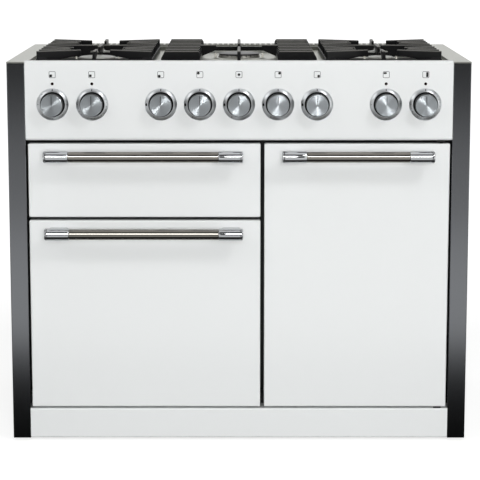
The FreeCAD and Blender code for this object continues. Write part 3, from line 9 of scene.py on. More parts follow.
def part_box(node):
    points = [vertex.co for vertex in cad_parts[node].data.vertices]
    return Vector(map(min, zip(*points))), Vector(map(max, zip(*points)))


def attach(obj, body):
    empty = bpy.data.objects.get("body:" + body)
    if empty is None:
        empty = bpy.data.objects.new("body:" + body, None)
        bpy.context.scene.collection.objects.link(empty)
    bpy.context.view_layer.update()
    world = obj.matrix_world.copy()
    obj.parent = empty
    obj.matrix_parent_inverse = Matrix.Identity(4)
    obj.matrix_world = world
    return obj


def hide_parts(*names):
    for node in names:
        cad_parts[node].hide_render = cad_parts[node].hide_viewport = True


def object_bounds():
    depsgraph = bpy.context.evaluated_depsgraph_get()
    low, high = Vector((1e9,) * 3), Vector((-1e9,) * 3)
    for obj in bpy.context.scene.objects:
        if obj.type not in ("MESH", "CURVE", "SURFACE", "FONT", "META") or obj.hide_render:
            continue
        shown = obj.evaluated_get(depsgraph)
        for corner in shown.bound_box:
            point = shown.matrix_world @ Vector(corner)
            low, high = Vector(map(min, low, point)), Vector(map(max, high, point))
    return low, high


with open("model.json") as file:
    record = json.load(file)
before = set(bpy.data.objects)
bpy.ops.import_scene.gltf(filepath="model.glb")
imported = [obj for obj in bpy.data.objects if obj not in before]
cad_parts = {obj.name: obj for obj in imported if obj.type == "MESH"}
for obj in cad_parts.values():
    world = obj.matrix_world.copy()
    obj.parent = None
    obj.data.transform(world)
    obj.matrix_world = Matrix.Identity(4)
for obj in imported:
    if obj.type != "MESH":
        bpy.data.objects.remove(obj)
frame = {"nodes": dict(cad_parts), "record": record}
cadLow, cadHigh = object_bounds()
nodes = frame["nodes"]
mm = 0.001
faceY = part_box("control_fascia")[0].y  # the plane of all the white fronts
print("frame loaded:", len(nodes), "nodes")


# small tools

def linear(hexColour):
    channels = [int(hexColour[start:start + 2], 16) / 255 for start in (1, 3, 5)]
    curve = [c / 12.92 if c <= 0.04045 else ((c + 0.055) / 1.055) ** 2.4 for c in channels]
    return (*curve, 1.0)


def perMetre(millimetres):
    return 1000 / millimetres  # texture scale that repeats once in this length


def addNode(tree, kind, inputs=None, **settings):
    node = tree.nodes.new(kind)
    for name, setting in settings.items():
        setattr(node, name, setting)
    for key, given in (inputs or {}).items():
        if isinstance(given, bpy.types.NodeSocket):
            tree.links.new(given, node.inputs[key])
        else:
            node.inputs[key].default_value = given
    return node


def emptyTree(owner):
    # clears the nodes of a new material or world
    owner.use_nodes = True
    owner.node_tree.nodes.clear()
    return owner.node_tree


def newMaterial(name, edgeMm=0.0, **sockets):
    # a Principled material; edgeMm softens the sharp CAD edges in the shading
    material = bpy.data.materials.new(name)
    tree = emptyTree(material)
    settings = {key.replace("_", " "): given for key, given in sockets.items()}
    shader = addNode(tree, "ShaderNodeBsdfPrincipled", settings)
    addNode(tree, "ShaderNodeOutputMaterial", {"Surface": shader.outputs[0]})
    place = addNode(tree, "ShaderNodeTexCoord").outputs["Object"]
    if edgeMm:
        soft = addNode(tree, "ShaderNodeBevel", {"Radius": edgeMm * mm}, samples=4)
        tree.links.new(soft.outputs[0], shader.inputs["Normal"])
    return material, tree, shader, place


def applyPattern(tree, shader, pattern, colours=None, roughness=None, relief=None):
    # works a 0 to 1 pattern into a finish: two colours, a span of roughness, a depth in mm and its strength
    if colours:
        low, high = (linear(colour) for colour in colours)
        mix = addNode(tree, "ShaderNodeMix", {0: pattern, 6: low, 7: high}, data_type="RGBA")
        tree.links.new(mix.outputs[2], shader.inputs["Base Color"])
    if roughness:
        low, high = roughness
        span = addNode(tree, "ShaderNodeMapRange", {"Value": pattern, "To Min": low, "To Max": high})
        tree.links.new(span.outputs[0], shader.inputs["Roughness"])
    if relief:
        depthMm, strength = relief
        bump = addNode(tree, "ShaderNodeBump", {
            "Height": pattern, "Distance": depthMm * mm, "Strength": strength})
        normal = shader.inputs["Normal"]
        if normal.is_linked:
            tree.links.new(normal.links[0].from_socket, bump.inputs["Normal"])
        tree.links.new(bump.outputs[0], normal)


# finishes

def whiteVitreousEnamel():
    # glass fired on pressed steel: hard even white gloss with a faint orange peel
    material, tree, shader, place = newMaterial(
        "whiteVitreousEnamel", 1.2, Base_Color=linear("#E6E8E8"), Roughness=0.14, IOR=1.5)
    peel = addNode(tree, "ShaderNodeTexNoise", {"Vector": place, "Scale": perMetre(11), "Detail": 1.0})
    applyPattern(tree, shader, peel.outputs[0], relief=(0.05, 0.08))
    return material


def anthraciteFlakeLacquer():
    # sides: dark lacquer full of fine metal flake, so it takes up the light and dark of the room
    material, tree, shader, place = newMaterial("anthraciteFlakeLacquer", 1.0, Metallic=1.0, Roughness=0.15)
    flake = addNode(tree, "ShaderNodeTexNoise", {"Vector": place, "Scale": perMetre(0.9), "Detail": 2.0})
    applyPattern(tree, shader, flake.outputs[0], colours=("#737578", "#7D7F82"))
    return material


def blackSatinEnamel():
    # the frame behind the doors: thin satin black, a little duller in patches
    material, tree, shader, place = newMaterial(
        "blackSatinEnamel", 0.5, Base_Color=linear("#101011"), IOR=1.5)
    dull = addNode(tree, "ShaderNodeTexNoise", {"Vector": place, "Scale": perMetre(40), "Detail": 3.0})
    applyPattern(tree, shader, dull.outputs[0], roughness=(0.28, 0.5))
    return material


def brushedStainlessSteel():
    # hob top: grain runs across the cooker, drawn 0.9 mm wide so that it shows
    material, tree, shader, place = newMaterial("brushedStainlessSteel", 0.8, Metallic=1.0)
    along = addNode(tree, "ShaderNodeMapping", {"Vector": place, "Scale": (0.012, 1.0, 1.0)}).outputs[0]
    grain = addNode(tree, "ShaderNodeTexNoise", {"Vector": along, "Scale": perMetre(0.9), "Detail": 4.0})
    applyPattern(
        tree, shader, grain.outputs[0], colours=("#B7B8B0", "#D2D3CB"), roughness=(0.22, 0.4),
        relief=(0.02, 0.3))
    return material


def polishedChrome():
    # plated brackets: a mirror with faint hand smudges
    material, tree, shader, place = newMaterial(
        "polishedChrome", 0.4, Base_Color=linear("#C4C6C8"), Metallic=1.0)
    smudge = addNode(tree, "ShaderNodeTexNoise", {"Vector": place, "Scale": perMetre(18), "Detail": 3.0})
    applyPattern(tree, shader, smudge.outputs[0], roughness=(0.04, 0.14))
    return material


def satinChrome():
    # dial rings: the same plating over a matted base, so what they mirror runs together softly
    material, tree, shader, place = newMaterial(
        "satinChrome", 0.3, Base_Color=linear("#D8DBDD"), Metallic=1.0)
    matting = addNode(tree, "ShaderNodeTexNoise", {"Vector": place, "Scale": perMetre(1.2), "Detail": 2.0})
    applyPattern(tree, shader, matting.outputs[0], roughness=(0.3, 0.38))
    return material


def blackNickel():
    # handle bars: dark bright plating with a faint grain along the bar, which keeps one long sharp highlight
    material, tree, shader, place = newMaterial("blackNickel", 0.0, Metallic=1.0, Roughness=0.08)
    along = addNode(tree, "ShaderNodeMapping", {"Vector": place, "Scale": (0.01, 1.0, 1.0)}).outputs[0]
    grain = addNode(tree, "ShaderNodeTexNoise", {"Vector": along, "Scale": perMetre(0.7), "Detail": 3.0})
    applyPattern(tree, shader, grain.outputs[0], colours=("#86837D", "#8E8B85"))
    return material


def spunSteel():
    # knob faces: turned on a lathe, so the light gathers in bright cones across the rings
    material, tree, shader, place = newMaterial(
        "spunSteel", 0.0, Metallic=1.0, Roughness=0.34, Anisotropic=0.92, Anisotropic_Rotation=0.25)
    tangent = addNode(tree, "ShaderNodeTangent", direction_type="RADIAL", axis="Y")
    tree.links.new(tangent.outputs[0], shader.inputs["Tangent"])
    radius = addNode(tree, "ShaderNodeAttribute", attribute_name="turningRadius").outputs["Fac"]
    rings = addNode(
        tree, "ShaderNodeTexNoise", {"W": radius, "Scale": perMetre(0.5), "Detail": 3.0},
        noise_dimensions="1D")
    applyPattern(tree, shader, rings.outputs[0], colours=("#9DA3A7", "#C0C5C8"), relief=(0.02, 0.15))
    return material


def castIron():
    # sand-cast supports in thin black enamel: a dull grain; the tops are painted lighter grey, partly wear
    # where pans rub and partly a painted highlight along the fin tops
    material, tree, shader, place = newMaterial("castIron", 0.5, IOR=1.5, Specular_IOR_Level=0.2)
    sand = addNode(tree, "ShaderNodeTexNoise", {"Vector": place, "Scale": perMetre(1.6), "Detail": 4.0})
    height = addNode(tree, "ShaderNodeSeparateXYZ", {0: place}).outputs[2]
    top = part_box("pan_support_left")[1].z
    # painted highlight: the top two millimetres of the supports go from black to grey, standing also for pan
    # wear
    wornAndHighlitTops = addNode(tree, "ShaderNodeMapRange", {
        "Value": height, "From Min": top - 2.6 * mm, "From Max": top - 0.6 * mm})
    applyPattern(tree, shader, wornAndHighlitTops.outputs[0], colours=("#131314", "#6A6965"))
    applyPattern(tree, shader, sand.outputs[0], roughness=(0.28, 0.42), relief=(0.12, 0.15))
    return material


def castAluminium():
    # burner crowns and feed pipes: blasted alloy, dull and finely pitted
    material, tree, shader, place = newMaterial("castAluminium", 0.6, Metallic=1.0)
    pits = addNode(tree, "ShaderNodeTexNoise", {"Vector": place, "Scale": perMetre(1.0), "Detail": 3.0})
    applyPattern(
        tree, shader, pits.outputs[0], colours=("#8A8983", "#A9A8A2"), roughness=(0.38, 0.55),
        relief=(0.08, 0.3))
    return material


def paleCapEnamel():
    # burner caps: satin light grey enamel, slightly mottled by heat
    material, tree, shader, place = newMaterial("paleCapEnamel", 0.0, Roughness=0.32, IOR=1.5)
    heat = addNode(tree, "ShaderNodeTexNoise", {"Vector": place, "Scale": perMetre(22), "Detail": 3.0})
    applyPattern(tree, shader, heat.outputs[0], colours=("#A3A5A0", "#BCBDB8"))
    return material


def darkCapEnamel():
    # the large middle burner wears black enamel
    material, tree, shader, place = newMaterial("darkCapEnamel", 0.0, Roughness=0.3, IOR=1.5)
    heat = addNode(tree, "ShaderNodeTexNoise", {"Vector": place, "Scale": perMetre(22), "Detail": 3.0})
    applyPattern(tree, shader, heat.outputs[0], colours=("#161617", "#222223"))
    return material


def speckledOvenEnamel():
    # easy-clean cavity enamel: blue-black gloss with pale specks about two millimetres apart
    material, tree, shader, place = newMaterial("speckledOvenEnamel", 0.8, Roughness=0.18, IOR=1.5)
    specks = addNode(tree, "ShaderNodeTexVoronoi", {"Vector": place, "Scale": perMetre(2.2)})
    dots = addNode(tree, "ShaderNodeMapRange", {
        "Value": specks.outputs["Distance"], "From Min": 0.12, "From Max": 0.2, "To Min": 1.0, "To Max": 0.0})
    applyPattern(tree, shader, dots.outputs[0], colours=("#1B1D22", "#A9AFB8"))
    return material


def galvanisedSteel():
    # hidden sheet and runners: zinc spangle in flakes near a centimetre
    material, tree, shader, place = newMaterial("galvanisedSteel", 0.5, Metallic=1.0)
    flakes = addNode(tree, "ShaderNodeTexVoronoi", {"Vector": place, "Scale": perMetre(10)})
    shade = addNode(tree, "ShaderNodeSeparateColor", {0: flakes.outputs["Color"]}).outputs[0]
    applyPattern(tree, shader, shade, colours=("#959A9D", "#AAAFB1"), roughness=(0.34, 0.46))
    return material


def chromedWire():
    # shelves and ladders: bright wire, lightly straw-coloured by heat
    material, tree, shader, place = newMaterial("chromedWire", 0.0, Metallic=1.0, Roughness=0.18)
    heat = addNode(tree, "ShaderNodeTexNoise", {"Vector": place, "Scale": perMetre(60), "Detail": 2.0})
    applyPattern(tree, shader, heat.outputs[0], colours=("#B9B9B6", "#C2B8A4"))
    return material


def castBrass():
    # gas rail and taps: dull yellow metal, darker in patches where it has oxidised
    material, tree, shader, place = newMaterial("castBrass", 0.5, Metallic=1.0, Roughness=0.36)
    tarnish = addNode(tree, "ShaderNodeTexNoise", {"Vector": place, "Scale": perMetre(14), "Detail": 4.0})
    applyPattern(tree, shader, tarnish.outputs[0], colours=("#8C6B32", "#C2A05A"))
    return material


def siliconeSeal():
    # oven seals: matt black rubber with a woven face
    material, tree, shader, place = newMaterial(
        "siliconeSeal", 0.8, Base_Color=linear("#171718"), Roughness=0.75)
    weave = addNode(tree, "ShaderNodeTexVoronoi", {"Vector": place, "Scale": perMetre(1.8)})
    applyPattern(tree, shader, weave.outputs["Distance"], relief=(0.3, 0.5))
    return material


def smokedLens():
    # indicator lenses: unlit, so a dark red that reads almost black
    material, tree, shader, place = newMaterial("smokedLens", 0.3, Roughness=0.08, IOR=1.49)
    depth = addNode(tree, "ShaderNodeTexNoise", {"Vector": place, "Scale": perMetre(4), "Detail": 1.0})
    applyPattern(tree, shader, depth.outputs[0], colours=("#170606", "#240A0A"))
    return material


def mouldedPhenolic():
    # switch bodies: cream moulded resin with a fine satin grain
    material, tree, shader, place = newMaterial("mouldedPhenolic", 0.6, Roughness=0.5, IOR=1.55)
    flow = addNode(tree, "ShaderNodeTexNoise", {"Vector": place, "Scale": perMetre(6), "Detail": 3.0})
    applyPattern(tree, shader, flow.outputs[0], colours=("#BDB7A6", "#CCC7B8"))
    return material


def glazedPorcelain():
    # electrode insulators: off-white glaze
    material, tree, shader, place = newMaterial("glazedPorcelain", 0.3, Roughness=0.15, IOR=1.5)
    glaze = addNode(tree, "ShaderNodeTexNoise", {"Vector": place, "Scale": perMetre(3), "Detail": 2.0})
    applyPattern(tree, shader, glaze.outputs[0], colours=("#D5D2C8", "#E6E3DA"))
    return material


def mouldedPolyamide():
    # feet and dial cups: black nylon, finely textured by the mould; in the dial cups the black is painted
    # shade
    material, tree, shader, place = newMaterial(
        "mouldedPolyamide", 0.5, Base_Color=linear("#19191A"), Roughness=0.55)
    grain = addNode(tree, "ShaderNodeTexNoise", {"Vector": place, "Scale": perMetre(0.8), "Detail": 2.0})
    applyPattern(tree, shader, grain.outputs[0], relief=(0.05, 0.4))
    return material


def screenInk(name, colours):
    # signs printed under the glaze: flat ink with slightly uneven cover
    material, tree, shader, place = newMaterial(name, 0.0, Roughness=0.3, IOR=1.5)
    cover = addNode(tree, "ShaderNodeTexNoise", {"Vector": place, "Scale": perMetre(1.5), "Detail": 2.0})
    applyPattern(tree, shader, cover.outputs[0], colours=colours)
    return material


white = whiteVitreousEnamel()
anthracite = anthraciteFlakeLacquer()
blackSatin = blackSatinEnamel()
stainless = brushedStainlessSteel()
chrome = polishedChrome()
satin = satinChrome()
nickel = blackNickel()
spun = spunSteel()
iron = castIron()
alloy = castAluminium()
paleCap = paleCapEnamel()
darkCap = darkCapEnamel()
speckled = speckledOvenEnamel()
zinc = galvanisedSteel()
wire = chromedWire()
brass = castBrass()
sealRubber = siliconeSeal()
lens = smokedLens()
resin = mouldedPhenolic()
porcelain = glazedPorcelain()
nylon = mouldedPolyamide()
darkInk = screenInk("darkScreenInk", ("#0C0C0D", "#121213"))
greyInk = screenInk("greyScreenInk", ("#3A3C3E", "#464849"))

slotFinish = {
    "white_enamel": white, "anthracite": anthracite, "stainless": stainless, "handle_bar": nickel,
    "chrome": chrome, "knob_steel": spun, "cast_iron": iron, "burner_alloy": alloy, "burner_cap": paleCap,
    "black_frame": blackSatin, "oven_enamel": speckled, "galvanised": zinc, "wire": wire, "brass": brass,
    "seal": sealRubber, "lens": lens, "switch": resin, "electrode": porcelain, "foot": nylon,
}
for subpart in frame["record"]["subparts"]:
    for slot in nodes[subpart["node"]].material_slots:
        slot.material = slotFinish[subpart["material_slot"]]
for slot in nodes["door_hinge_brackets"].material_slots:
    slot.material = blackSatin  # painted black as painted shade, so the gap round the doors stays dark
print("finishes made:", len(bpy.data.materials))


# mesh tools

def placeObject(name, data):
    placed = bpy.data.objects.new(name, data)
    bpy.context.scene.collection.objects.link(placed)
    return placed


def meshOf(holder):
    # a plain mesh of what an object and its modifiers make
    graph = bpy.context.evaluated_depsgraph_get()
    return bpy.data.meshes.new_from_object(holder.evaluated_get(graph))


def lathe(bm, profile, centre, along, segments=72, slot=0, closed=False):
    # turns (radius, distance) points in mm round an axis through the centre
    axis = Vector(along)
    side = axis.orthogonal().normalized()
    up = axis.cross(side)
    radiusLayer = bm.verts.layers.float.get("turningRadius") or bm.verts.layers.float.new("turningRadius")
    rings = []
    for radius, reach in profile:
        middle = centre + axis * reach * mm
        ring = []
        for step in range(segments if radius else 1):
            angle = math.tau * step / segments
            vertex = bm.verts.new(middle + (side * math.cos(angle) + up * math.sin(angle)) * radius * mm)
            vertex[radiusLayer] = radius * mm
            ring.append(vertex)
        rings.append(ring)
    following = rings[1:] + rings[:1] if closed else rings[1:]
    for near, far in zip(rings, following):
        for step in range(segments):
            after = step + 1
            corners = (
                near[step % len(near)], near[after % len(near)], far[after % len(far)], far[step % len(far)])
            bm.faces.new(dict.fromkeys(corners)).material_index = slot


def prism(bm, outline, back, front, slot=0):
    # a plate parallel to the fronts; the outline is (x, z) in metres, back and front are y
    rings = [[bm.verts.new((x, y, z)) for x, z in outline] for y in (back, front)]
    count = len(outline)
    faces = [bm.faces.new(rings[0]), bm.faces.new(rings[1])]
    for n in range(count):
        after = (n + 1) % count
        faces.append(bm.faces.new((rings[0][n], rings[0][after], rings[1][after], rings[1][n])))
    for face in faces:
        face.material_index = slot


def roundedOutline(x, z, width, height, radius, steps=6):
    points = []
    for turn, (signX, signZ) in enumerate(((1, 1), (-1, 1), (-1, -1), (1, -1))):
        middleX = x + signX * (width / 2 - radius)
        middleZ = z + signZ * (height / 2 - radius)
        for step in range(steps + 1):
            angle = (turn + step / steps) * math.pi / 2
            points.append((middleX + radius * math.cos(angle), middleZ + radius * math.sin(angle)))
    return points


def linkPiece(mesh, name, materials, sharpDegrees=35):
    if not mesh.materials:
        for material in materials:
            mesh.materials.append(material)
    mesh.shade_smooth()
    mesh.set_sharp_from_angle(angle=math.radians(sharpDegrees))
    return placeObject(name, mesh)


def pieceFrom(bm, name, materials, sharpDegrees=35):
    bmesh.ops.remove_doubles(bm, verts=bm.verts, dist=1e-6)
    bmesh.ops.recalc_face_normals(bm, faces=bm.faces)
    mesh = bpy.data.meshes.new(name)
    bm.to_mesh(mesh)
    bm.free()
    return linkPiece(mesh, name, materials, sharpDegrees)


def bakeTree(name, points, tree, inputs, material):
    # runs a node tree on a set of points and keeps the result as a plain mesh
    mesh = bpy.data.meshes.new(name)
    mesh.from_pydata(points, [], [])
    source = placeObject(name, mesh)
    modifier = source.modifiers.new(name, "NODES")
    modifier.node_group = tree
    for item in tree.interface.items_tree:
        if item.in_out == "INPUT" and item.name in inputs:
            modifier[item.identifier] = inputs[item.name]
    made = meshOf(source)
    source.modifiers.remove(modifier)
    bpy.data.objects.remove(source)
    made.name = name
    return linkPiece(made, name, [material])


def treeWith(name, sockets):
    # an empty node tree that takes geometry and the named sizes
    tree = bpy.data.node_groups.new(name, "GeometryNodeTree")
    tree.interface.new_socket("Geometry", in_out="OUTPUT", socket_type="NodeSocketGeometry")
    tree.interface.new_socket("Geometry", in_out="INPUT", socket_type="NodeSocketGeometry")
    for label, kind in sockets.items():
        tree.interface.new_socket(label, in_out="INPUT", socket_type=f"NodeSocket{kind}")
    return tree, addNode(tree, "NodeGroupInput").outputs


def endTree(tree, instances, finish):
    real = addNode(tree, "GeometryNodeRealizeInstances", {0: instances})
    painted = addNode(tree, "GeometryNodeSetMaterial", {"Geometry": real.outputs[0], "Material": finish})
    addNode(tree, "NodeGroupOutput", {0: painted.outputs[0]})


def makeRepeatTree():
    # one turned piece on every point
    tree, given = treeWith("repeatedPieces", {"Piece": "Object", "Finish": "Material"})
    piece = addNode(tree, "GeometryNodeObjectInfo", {"Object": given["Piece"]})
    placed = addNode(tree, "GeometryNodeInstanceOnPoints", {
        "Points": given["Geometry"], "Instance": piece.outputs["Geometry"]})
    endTree(tree, placed.outputs[0], given["Finish"])
    return tree


repeatTree = makeRepeatTree()


def onPoints(name, bm, points, finish):
    single = pieceFrom(bm, f"{name}Single", [finish])
    made = bakeTree(name, points, repeatTree, {"Piece": single, "Finish": finish}, finish)
    bpy.data.objects.remove(single)
    return made


# knobs

knobStyle = {
    "radius": 26.0,
    "draft": 0.8,
    "back": 5.0,         # distance from the fascia to the knob's open end
    "front": 33.0,       # and to its face
    "dish": 0.5,         # how far the face sinks inside its rim
    "rim": 1.6,
    "wall": 2.5,         # of the hollow body
    "hub": 8.0,          # radius of the boss on the spindle
    "cap": 2.5,          # depth of the steel face over the black body
    "pointer": (1.0, 22.0),  # from and to, measured from the knob's middle
    "pointerWidth": 1.6,
    "pointerCorner": 0.6,
    "pointerProud": 0.06,
}
knobZ = 0.8091
gasKnobs = {
    "front_left": -0.182, "rear_left": -0.091, "centre": 0.0, "rear_right": 0.091, "front_right": 0.182,
}
ovenKnobs = {
    "left_oven_mode": -0.4345, "left_oven_heat": -0.3425, "grill_heat": 0.3425, "right_oven_heat": 0.4345,
}
towardsFront = (0, -1, 0)


def makeKnob(name, x, nodeName):
    style = knobStyle
    radius, back, front, hub = style["radius"], style["back"], style["front"], style["hub"]
    inner = radius - style["wall"]
    top = radius - style["draft"]
    rim = top - style["rim"]
    faceAt = front - style["dish"]
    # from the boss round the hollow and the grooved skirt to the dished face
    profile = [
        (0, back + 6), (hub, back + 6), (hub, front - 4), (inner, front - 4), (inner, back),
        (radius - 0.4, back), (radius, back + 0.4), (radius - 0.1, back + 3), (radius - 0.7, back + 3.3),
        (radius - 0.7, back + 4.3), (radius - 0.14, back + 4.6),
        (top, front - 1), (top - 0.3, front - 0.3), (top - 1, front),
        (rim, front), (rim - 0.7, faceAt), (14, faceAt), (6, faceAt), (0, faceAt),
    ]
    bm = bmesh.new()
    lathe(bm, profile, Vector((x, faceY, knobZ)), towardsFront, segments=96)
    bodyEnd = faceY - (front - style["cap"]) * mm
    for face in bm.faces:
        if face.calc_center_median().y > bodyEnd:
            face.material_index = 1
    low, high = style["pointer"]
    inlay = roundedOutline(
        x, knobZ + (low + high) / 2 * mm, style["pointerWidth"] * mm, (high - low) * mm,
        style["pointerCorner"] * mm, steps=3)
    prism(bm, inlay, faceY - (faceAt - 0.5) * mm, faceY - (faceAt + style["pointerProud"]) * mm, slot=1)
    knob = pieceFrom(bm, name, [spun, darkInk])
    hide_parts(nodeName)
    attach(knob, nodeName)
    return knob


knobPieces = []
for knobName, knobX in gasKnobs.items():
    knobPieces.append(makeKnob(f"gasKnob.{knobName}", knobX, f"{knobName}_burner_knob"))
for knobName, knobX in ovenKnobs.items():
    knobPieces.append(makeKnob(f"ovenKnob.{knobName}", knobX, f"{knobName}_knob"))
print("knobs turned")


# dial rings and their marks

dialRing = {
    "bore": 29.0,
    "wellBore": 10.0,
    "outer": 37.5,
    "crest": 30.2,
    "lip": 1.5,
    "rise": 6.0,
    "markRadius": 33.85,  # middle of the sloping face
    "markReach": 3.9,
    "slope": math.radians(-29.4),
}
tick = {"length": 5.4, "width": 1.9, "fineLength": 2.4, "fineWidth": 0.7, "proud": 0.12}
offMark = {"count": 1, "first": 0, "sweep": 0}        # degrees clockwise from the top
heatMarks = {"count": 8, "first": 54, "sweep": 201}   # between the numbers
dialSign = {
    "gasFlames": ((-90, 4.4), (-150, 2.0)),  # high and low: degrees round the dial and size
    "heats": {"left_oven_heat": range(1, 10), "right_oven_heat": range(1, 10), "grill_heat": range(1, 7)},
    "heatFirst": 40,      # degrees to the lowest number
    "heatSweep": 230,     # and from there to the highest
    "numeralHeight": 4.4,
    "modes": 7,
    "modeStep": 45,
    "modeFlame": 1.6,
}
flameSteps = 24


def ticksTree():
    # a fan of short bars on the sloping face of a dial, repeated on every point
    tree, given = treeWith("dialTicks", {
        "Count": "Int", "First": "Float", "Sweep": "Float", "Radius": "Float", "Reach": "Float",
        "Slope": "Float", "Length": "Float", "Width": "Float", "Proud": "Float", "Finish": "Material",
    })
    size = addNode(tree, "ShaderNodeCombineXYZ", {
        "X": given["Width"], "Y": given["Proud"], "Z": given["Length"]})
    bar = addNode(tree, "GeometryNodeMeshCube", {"Size": size.outputs[0]})
    forward = addNode(tree, "ShaderNodeMath", {0: given["Reach"], 1: -1.0}, operation="MULTIPLY")
    out = addNode(tree, "ShaderNodeCombineXYZ", {"Y": forward.outputs[0], "Z": given["Radius"]})
    lean = addNode(tree, "ShaderNodeCombineXYZ", {"X": given["Slope"]})
    leaned = addNode(tree, "FunctionNodeEulerToRotation", {0: lean.outputs[0]})
    seated = addNode(tree, "GeometryNodeTransform", {
        "Geometry": bar.outputs[0], "Translation": out.outputs[0], "Rotation": leaned.outputs[0]})
    fan = addNode(tree, "GeometryNodePoints", {"Count": given["Count"]})
    gaps = addNode(tree, "ShaderNodeMath", {0: given["Count"], 1: 1.0}, operation="SUBTRACT")
    atLeastOne = addNode(tree, "ShaderNodeMath", {0: gaps.outputs[0], 1: 1.0}, operation="MAXIMUM")
    step = addNode(
        tree, "ShaderNodeMath", {0: given["Sweep"], 1: atLeastOne.outputs[0]}, operation="DIVIDE")
    index = addNode(tree, "GeometryNodeInputIndex")
    angle = addNode(
        tree, "ShaderNodeMath", {0: index.outputs[0], 1: step.outputs[0], 2: given["First"]},
        operation="MULTIPLY_ADD")
    turn = addNode(tree, "ShaderNodeCombineXYZ", {"Y": angle.outputs[0]})
    turned = addNode(tree, "FunctionNodeEulerToRotation", {0: turn.outputs[0]})
    dial = addNode(tree, "GeometryNodeInstanceOnPoints", {
        "Points": fan.outputs[0], "Instance": seated.outputs[0], "Rotation": turned.outputs[0]})
    placed = addNode(tree, "GeometryNodeInstanceOnPoints", {
        "Points": given["Geometry"], "Instance": dial.outputs[0]})
    endTree(tree, placed.outputs[0], given["Finish"])
    return tree


def dialPoints(names):
    return [(x, faceY, knobZ) for x in names.values()]


def makeRings():
    bore, outer, crest = dialRing["bore"], dialRing["outer"], dialRing["crest"]
    lip, rise = dialRing["lip"], dialRing["rise"]
    profile = [
        (bore, 0), (outer - 0.4, 0), (outer, 0.4), (outer, lip), (outer - 0.4, lip + 0.5),
        (crest + 0.5, rise - 0.4), (crest, rise - 0.15), (crest - 0.4, rise), (bore + 0.4, rise),
        (bore, rise - 0.4),
    ]
    bm = bmesh.new()
    lathe(bm, profile, Vector(), towardsFront, segments=96, closed=True)
    rings = onPoints("dialRings", bm, dialPoints(ovenKnobs | gasKnobs), satin)
    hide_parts("knob_bezels")
    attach(rings, "cabinet")


def makeWells():
    # black cups inside the rings, painted shade that leaves a dark line round each knob
    inner, outer, rise = dialRing["wellBore"], dialRing["bore"], dialRing["rise"]
    profile = [
        (inner, 0.05), (outer - 0.05, 0.05), (outer - 0.05, rise - 0.6), (outer - 0.5, rise - 0.6),
        (outer - 0.5, 0.4), (inner, 0.4),
    ]
    bm = bmesh.new()
    lathe(bm, profile, Vector(), towardsFront, segments=64, closed=True)
    shadeWells = onPoints("dialWells", bm, dialPoints(ovenKnobs | gasKnobs), nylon)
    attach(shadeWells, "cabinet")


def makeTicks(name, tree, names, marks, length, width):
    sizes = {
        "Count": marks["count"], "First": math.radians(marks["first"]), "Sweep": math.radians(marks["sweep"]),
        "Radius": dialRing["markRadius"] * mm, "Reach": dialRing["markReach"] * mm,
        "Slope": dialRing["slope"], "Length": length * mm, "Width": width * mm, "Proud": tick["proud"] * mm,
        "Finish": darkInk,
    }
    ticks = bakeTree(name, dialPoints(names), tree, sizes, darkInk)
    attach(ticks, "cabinet")


def seatOnDial(bm, x, degrees):
    # takes a mark drawn flat round the origin to its place on a dial's slope
    lean = Matrix.Rotation(dialRing["slope"], 4, "X")
    out = Matrix.Translation((0, -dialRing["markReach"] * mm, dialRing["markRadius"] * mm))
    turn = Matrix.Rotation(math.radians(degrees), 4, "Y")
    place = Matrix.Translation((x, faceY, knobZ))
    bmesh.ops.transform(bm, matrix=place @ turn @ out @ lean, verts=bm.verts)


def flameMark(x, degrees, size):
    # an upright drop, whatever its place round the dial
    bm = bmesh.new()
    lean = math.radians(degrees)
    cosine, sine = math.cos(lean), math.sin(lean)
    outline = []
    for step in range(flameSteps):
        angle = math.tau * step / flameSteps
        across = size * mm * (0.55 - 0.25 * math.sin(angle)) * math.cos(angle)  # narrows to the tip
        up = size * mm * 0.8 * math.sin(angle)
        outline.append((across * cosine - up * sine, across * sine + up * cosine))
    prism(bm, outline, 0.0, -tick["proud"] / 2 * mm)
    seatOnDial(bm, x, degrees)
    return bm


def numeral(text, x, degrees, height):
    curve = bpy.data.curves.new("numeral", "FONT")
    curve.body = text
    curve.align_x = "CENTER"
    curve.align_y = "CENTER"
    curve.size = height * mm
    curve.extrude = tick["proud"] / 2 * mm
    curve.resolution_u = 3
    holder = placeObject("numeral", curve)
    bm = bmesh.new()
    bm.from_mesh(meshOf(holder))
    bmesh.ops.rotate(bm, matrix=Matrix.Rotation(math.pi / 2, 3, "X"), verts=bm.verts)
    seatOnDial(bm, x, degrees)
    bpy.data.objects.remove(holder)
    return bm


def joined(parts):
    whole = bmesh.new()
    for part in parts:
        mesh = bpy.data.meshes.new("part")
        part.to_mesh(mesh)
        whole.from_mesh(mesh)
        part.free()
        bpy.data.meshes.remove(mesh)
    return whole


def makeDialSigns():
    style = dialSign
    signs = []
    for x in gasKnobs.values():
        for degrees, size in style["gasFlames"]:
            signs.append(flameMark(x, degrees, size))
    for name, numbers in style["heats"].items():
        for number in numbers:
            degrees = style["heatFirst"] + style["heatSweep"] * (number - numbers[0]) / (len(numbers) - 1)
            signs.append(numeral(str(number), ovenKnobs[name], degrees, style["numeralHeight"]))
    for n in range(style["modes"]):
        signs.append(flameMark(ovenKnobs["left_oven_mode"], style["modeStep"] * (n + 1), style["modeFlame"]))
    piece = pieceFrom(joined(signs), "dialSigns", [darkInk])
    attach(piece, "cabinet")


makeRings()
makeWells()
dialTicks = ticksTree()
makeTicks("offTicks", dialTicks, ovenKnobs | gasKnobs, offMark, tick["length"], tick["width"])
heatDials = {name: ovenKnobs[name] for name in ("left_oven_heat", "right_oven_heat")}
makeTicks("heatTicks", dialTicks, heatDials, heatMarks, tick["fineLength"], tick["fineWidth"])
makeDialSigns()
print("dials marked")


# printed signs over the knobs

